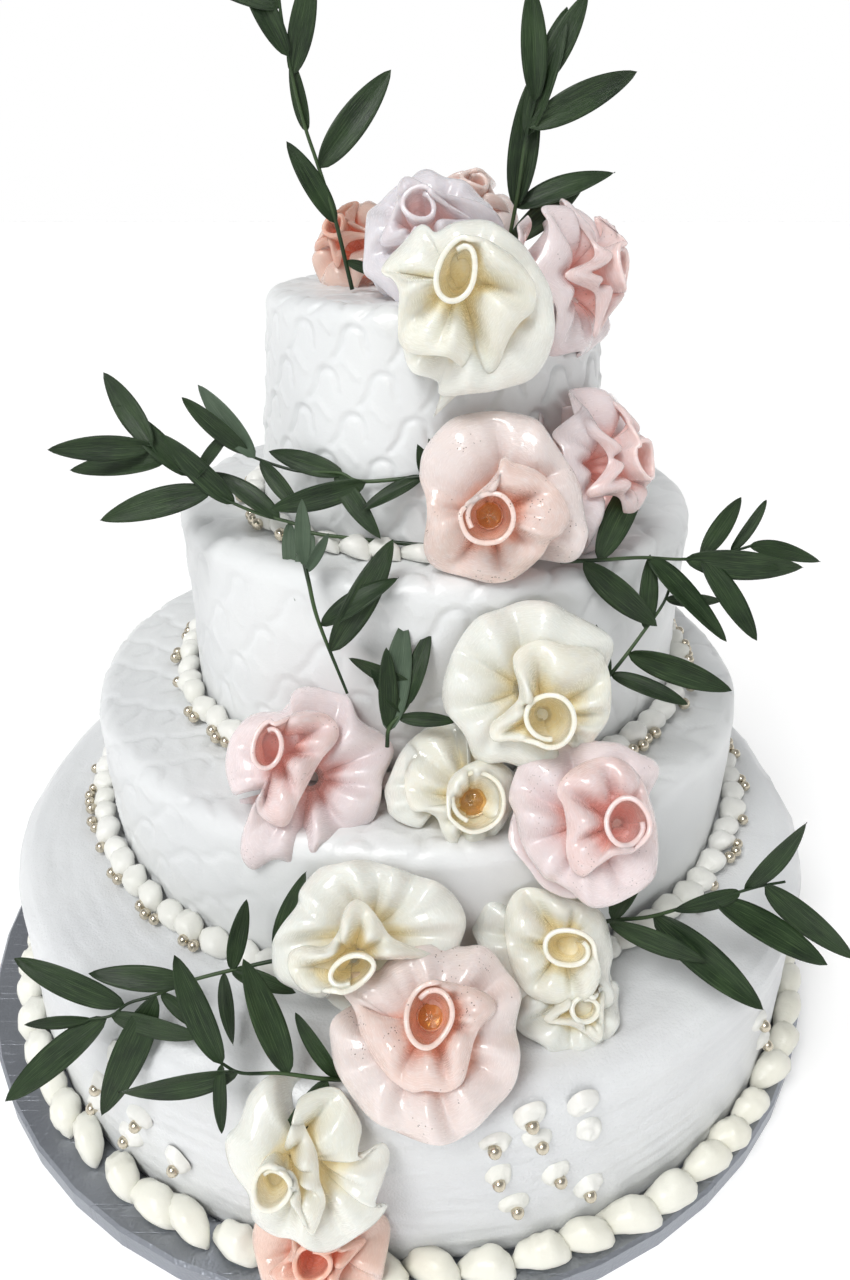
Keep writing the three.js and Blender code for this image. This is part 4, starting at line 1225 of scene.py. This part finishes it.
# %% The eleven sprigs
SPRIG_VIEW = 28
STEM_RADIUS = 0.95
LEAF_WIDTH = 0.25
LEAF_DROOP = 0.08
BLADE_THICKNESS = 0.7
STEM_STEPS = 100
STEM_SIDES = 8
BLADE_STEPS = 20
BLADE_SIDES = 9
UNDERSIDE_UP = {
    "sprig_left_upper": (5,), "sprig_left_lower": (8, 9), "sprig_left_hanging": (0, 1),
    "sprig_centre": (0,),
}
SPRIGS = {
    "sprig_top_left": dict(
        root=(-15, -30, 375),
        stem=[(-2, 8, 4), (-6, 24, 11), (-12, 42, 18), (-17, 56, 24), (-21, 72, 32), (-24, 92, 42),
            (-23, 108, 50)],
        leaves=[(0.22, 124, 35, 22), (0.39, 50, 47, 10), (0.5, 104, 26, 24), (0.66, 73, 38, 20),
            (0.71, 122, 36, 22), (0.84, 158, 42, 8), (0.88, 66, 44, 18), (0.99, 106, 42, 20),
            (0.1, -18, 18, 0)]),
    "sprig_top_right": dict(
        root=(48, -22, 380),
        stem=[(2, 10, 6), (5, 26, 16), (7, 42, 25), (10, 54, 32), (12, 64, 36)],
        leaves=[(0.86, 94, 40, 24), (0.92, 60, 38, 16), (0.7, 72, 46, 22), (0.74, 24, 46, 12),
            (0.36, 82, 48, 22), (0.36, 20, 42, 8), (0.18, 34, 42, 14)]),
    "sprig_left_upper": dict(
        root=(24, -82, 312),
        stem=[(-33, -2, -6), (-44, 2, -9), (-62, 4, -15), (-78, 9, -16), (-84, 12, -15)],
        leaves=[(0.5, 161, 36, -14), (0.54, 302, 34, 12), (0.38, 198, 42, -6), (0.12, 206, 28, 2),
            (0.12, 88, 22, 14), (0.94, 128, 38, 10), (0.92, 308, 30, 12), (0.99, 140, 34, 20)]),
    "sprig_left_lower": dict(
        root=(24, -86, 282),
        stem=[(-52, 6, -6), (-64, 11, -8), (-78, 15, -10), (-92, 21, -10), (-104, 29, -9), (-118, 37, -8),
            (-124, 45, -6)],
        leaves=[(0.76, 194, 49, 4), (0.92, 181, 46, -8), (0.98, 184, 42, 14), (0.84, 137, 44, 2),
            (1, 124, 42, -6), (0.68, 139, 41, 12), (0.53, 141, 36, -4), (0.82, 55, 26, 14),
            (0.42, 256, 30, 16), (0.5, 272, 26, 8)]),
    "sprig_left_hanging": dict(
        root=(-33, -104, 288),
        stem=[(3, -12, 2), (7, -28, 2), (18, -56, 0)],
        leaves=[(0.12, 93, 26, 14), (0.16, 55, 18, 20), (0.52, 34, 36, 8), (0.7, 57, 50, 4)]),
    "sprig_centre": dict(
        root=(0, -128, 212),
        stem=[(1, 8, 3), (7, 15, 3), (12, 24, 2)],
        leaves=[(0.25, 80, 46, 6), (0.3, 92, 33, 12), (0.98, 156, 30, 6), (0.6, 126, 22, 14),
            (0.5, -4, 24, 6), (0.72, 76, 32, 4)]),
    "sprig_right_upper": dict(
        root=(70, -96, 280),
        stem=[(16, 1, -6), (36, 3, -16), (54, 3, -24), (66, 4, -26), (79, 7, -25), (86, 9, -24)],
        leaves=[(0.2, 64, 50, -14), (0.12, 319, 46, -16), (0.48, 316, 48, 4), (0.68, 353, 50, 6),
            (0.76, 303, 42, 14), (0.76, 55, 34, -6), (0.9, 56, 26, 10), (0.99, 352, 34, -4),
            (0.84, 344, 26, 16)]),
    "sprig_right_middle": dict(
        root=(90, -98, 224),
        stem=[(6, 6, 3), (18, 22, 4), (28, 36, 2), (33, 50, -2)],
        leaves=[(0.5, 84, 32, 4), (0.3, 340, 46, 10), (0.12, 338, 34, 16), (0.76, 357, 24, 8),
            (0.1, 108, 26, 8)]),
    "sprig_right_lower": dict(
        root=(82, -156, 142),
        stem=[(12, 3, 3), (26, 4, 2), (43, 8, 0), (58, 12, 0), (72, 16, 0), (83, 18, 0)],
        leaves=[(0.78, 195, 30, 12), (0.8, 48, 38, 10), (0.64, 334, 53, 8), (0.9, 318, 48, 4),
            (0.34, 321, 56, 12), (0.14, 66, 44, -6), (0.12, 337, 42, 14)]),
    "sprig_left_low": dict(
        root=(-38, -168, 136),
        stem=[(-10, -1, 2), (-33, -6, 3), (-44, -9, 4), (-56, -14, 4), (-66, -17, 4), (-73, -22, 4),
            (-82, -23, 5)],
        leaves=[(0.82, 155, 48, 4), (0.5, 174, 40, 8), (1, 183, 26, 14), (0.92, 219, 51, 6),
            (0.66, 246, 54, 4), (0.64, 324, 24, 14), (0.34, 281, 28, 18), (0.3, 345, 28, 14),
            (0.3, 78, 30, 10), (0.9, 351, 40, 16), (0.08, 76, 38, 6)]),
    "sprig_front_low": dict(
        root=(-12, -206, 112),
        stem=[(-11, 3, 6), (-27, 6, 8), (-41, 7, 10), (-49, 11, 10)],
        leaves=[(0.98, 115, 44, 6), (0.5, 110, 46, 2), (0.84, 188, 44, 10), (0.98, 270, 24, 16),
            (0.22, 242, 50, 8), (0.14, 124, 30, 4)]),
}


def stem_tube(path):
    """Points and faces of a thin tube round a path, thinner towards its end."""
    ahead = np.gradient(path, axis=0)
    ahead /= np.linalg.norm(ahead, axis=1, keepdims=True)
    side = np.cross(ahead, [0.31, 0.9, 0.3])
    side /= np.linalg.norm(side, axis=1, keepdims=True)
    other = np.cross(ahead, side)
    around = np.linspace(0, 2 * np.pi, STEM_SIDES, endpoint=False)[None, :, None]
    radius = STEM_RADIUS * np.linspace(1, 0.6, len(path))[:, None, None]
    ring = side[:, None] * np.cos(around) + other[:, None] * np.sin(around)
    points = (path[:, None] + radius * ring).reshape(-1, 3)
    faces = list(grid_faces(len(path), STEM_SIDES, closed=True)[:, ::-1])
    foot = np.arange(STEM_SIDES)
    return points, faces + [foot, (foot + (len(path) - 1) * STEM_SIDES)[::-1]]


def leaf_blade(length, twist):
    """Points of one blade, [steps, loop, xyz], along +X with its upper face to +Z."""
    along = np.linspace(0.0, 1.0, BLADE_STEPS)[:, None]
    across = np.linspace(-1, 1, BLADE_SIDES)[None, :]
    spread = along**0.62 * (1 - along) ** 0.78 / 0.382 + 0.03 * (1 - along)
    y = across * spread * LEAF_WIDTH / 2 * length
    fold = 0.28 + 0.16 * math.sin(1.7 * twist)
    z = np.abs(y) * fold * (1 - 0.5 * along) - LEAF_DROOP * length * along**2
    z = z + 0.012 * length * np.sin(5 * along + twist) * across
    z = z + 0.02 * length * np.sin(3 * along + 2 * twist)
    y = y + 0.03 * length * math.sin(2.9 * twist) * along**2
    upper = np.stack([np.broadcast_to(along * length, y.shape), y, z], axis=-1)
    thin = BLADE_THICKNESS * (1 - 0.75 * np.abs(across)) * np.minimum(1, spread * 4)
    lower = upper - np.stack([0 * y, 0 * y, thin * np.ones_like(y)], axis=-1)
    return np.concatenate([upper, lower[:, ::-1]], axis=1)


def grow_sprig(name, sprig, seed):
    """One sprig, its leaves and stem in one mesh with an upper and an under finish."""
    basis, root = facing(sprig["root"], (0, SPRIG_VIEW))
    path = through(np.array([(0, 0, 0), *sprig["stem"]], float) @ basis + root, STEM_STEPS)
    stem, faces = stem_tube(path)
    points = [stem]
    across, along = [np.zeros(len(stem))], [np.repeat(np.linspace(0, 3, len(path)), STEM_SIDES)]
    under = [0] * len(faces)
    loop = np.linspace(-1, 1, BLADE_SIDES)
    for i, (share, turn, length, lean) in enumerate(sprig["leaves"]):
        turn, lean = math.radians(turn), math.radians(lean)
        level = math.cos(lean)
        ahead = np.array([math.cos(turn) * level, math.sin(turn) * level, math.sin(lean)]) @ basis
        side = np.array([-math.sin(turn), math.cos(turn), math.sin(0.5 * math.sin(2.4 * i))]) @ basis
        face = np.cross(ahead, side)
        face /= np.linalg.norm(face)
        side = np.cross(face, ahead)
        base = path[int(min(share, 0.98) * (len(path) - 1))]
        blade = leaf_blade(length, i + seed)
        start = sum(len(done) for done in points)
        rows = grid_faces(BLADE_STEPS, 2 * BLADE_SIDES, closed=True, start=start)
        faces += list(rows)
        flip = i in UNDERSIDE_UP.get(name, ())
        is_lower = (rows[:, 0] - start) % (2 * BLADE_SIDES) >= BLADE_SIDES
        under += list((is_lower != flip).astype(int))
        points.append(blade.reshape(-1, 3) @ np.array([ahead, side, face]) + base)
        across.append(np.tile(np.concatenate([loop, loop[::-1]]), BLADE_STEPS) + 3 * i)
        along.append(np.repeat(np.linspace(0, 1, BLADE_STEPS), 2 * BLADE_SIDES) * length / 12 + 7 * i)
    stored = {"across": np.concatenate(across), "along": np.concatenate(along)}
    points = np.vstack(points) * MM
    piece = finished_piece(name + "_leaves", points, faces, LEAF_TOP, "leaf", [name], stored)
    piece.data.materials.append(LEAF_UNDER)
    piece.data.polygons.foreach_set("material_index", np.array(under, np.int32))
    return len(sprig["leaves"])


for seed, (name, sprig) in enumerate(SPRIGS.items()):
    print(name, grow_sprig(name, sprig, seed), "leaves")

# %% [markdown]
# ## Light and floor
#
# The picture has the even light of a bright room on a white ground: soft shadows that fall a little
# to the right and down, no hard glints except on wet sugar. A sun lamp with a very wide disc lights
# a whole floor evenly, where a softbox would leave a bright pool and a grey distance. The sky is
# pale overhead and white near the horizon, so it meets the floor without a line.

# %% The floor and the lights
FLOOR_REACH = 6.0
FLOOR_GLOW = 0.13
floor_mesh = bpy.data.meshes.new("floor")
corners = [(FLOOR_REACH * x, FLOOR_REACH * y, 0) for x, y in [(-1, -1), (1, -1), (1, 1), (-1, 1)]]
floor_mesh.from_pydata(corners, [], [(0, 1, 2, 3)])
floor = bpy.data.objects.new("floor", floor_mesh)
floor_finish = Finish(
    "pale_floor", Roughness=0.8, Specular_IOR_Level=0.2, Emission_Color=(1, 1, 1, 1),
    Emission_Strength=FLOOR_GLOW)
mottled = floor_finish.blend(floor_finish.noise(2), paint(252, 252, 252), paint(250, 250, 250))
floor_finish.feed("Base Color", mottled)
floor_mesh.materials.append(floor_finish.material)
bpy.context.scene.collection.objects.link(floor)
print("floor:", 2 * FLOOR_REACH, "m across")

# %% [markdown]
# A lamp in Blender shines along its own -Z, so a small helper turns it towards a direction. The sun
# comes from the front left and above. A small softbox gives the wet sugar its short bright glints.

# %% The sun and a softbox
SUN_STRENGTH = 2.0
SUN_WIDTH = 26
SUN_DIRECTION = (0.42, 0.62, -1.1)
SOFTBOX_POWER = 1.4
SOFTBOX_SIZE = 0.22
SOFTBOX_PLACE = (-0.5, -1.1, 0.95)
SOFTBOX_AIM = (0, 0, 0.22)


def hang_lamp(name, kind, energy, direction):
    data = bpy.data.lights.new(name, kind)
    data.energy = energy
    lamp = bpy.data.objects.new(name, data)
    lamp.rotation_euler = Vector(direction).to_track_quat("-Z", "Y").to_euler()
    bpy.context.scene.collection.objects.link(lamp)
    return lamp


sun = hang_lamp("wide_sun", "SUN", SUN_STRENGTH, SUN_DIRECTION)
sun.data.angle = math.radians(SUN_WIDTH)
downwards = Vector(SOFTBOX_AIM) - Vector(SOFTBOX_PLACE)
softbox = hang_lamp("small_softbox", "AREA", SOFTBOX_POWER, downwards)
softbox.location = SOFTBOX_PLACE
softbox.data.size = SOFTBOX_SIZE
print("lamps:", sun.name, "and", softbox.name)

# %% [markdown]
# The sky lights the cake from everywhere and is what the silver reflects. Its strength follows the
# height of the direction: full near the horizon, so that the ground runs into it, and weaker above,
# so that the pressed pattern keeps its shadows.

# %% The sky
SKY_FADE = {"From Min": 0.14, "From Max": 0.4, "To Min": 1.0, "To Max": 0.36}
world = bpy.data.worlds.new("pale_room")
world.use_nodes = True
sky = world.node_tree
direction = sky.nodes.new("ShaderNodeTexCoord")
parts = sky.nodes.new("ShaderNodeSeparateXYZ")
fade = sky.nodes.new("ShaderNodeMapRange")
for socket, value in SKY_FADE.items():
    fade.inputs[socket].default_value = value
sky.links.new(direction.outputs["Generated"], parts.inputs[0])
sky.links.new(parts.outputs["Z"], fade.inputs["Value"])
sky.links.new(fade.outputs["Result"], sky.nodes["Background"].inputs["Strength"])
sky.nodes["Background"].inputs["Color"].default_value = (1, 1, 1, 1)
bpy.context.scene.world = world
bpy.context.scene.view_settings.view_transform = "Standard"
meshes = [thing.data for thing in bpy.context.scene.objects if thing.type == "MESH"]
triangles = sum(len(face.vertices) - 2 for mesh in meshes for face in mesh.polygons)
print("triangles of the solids, the dressed cake and the floor:", triangles)
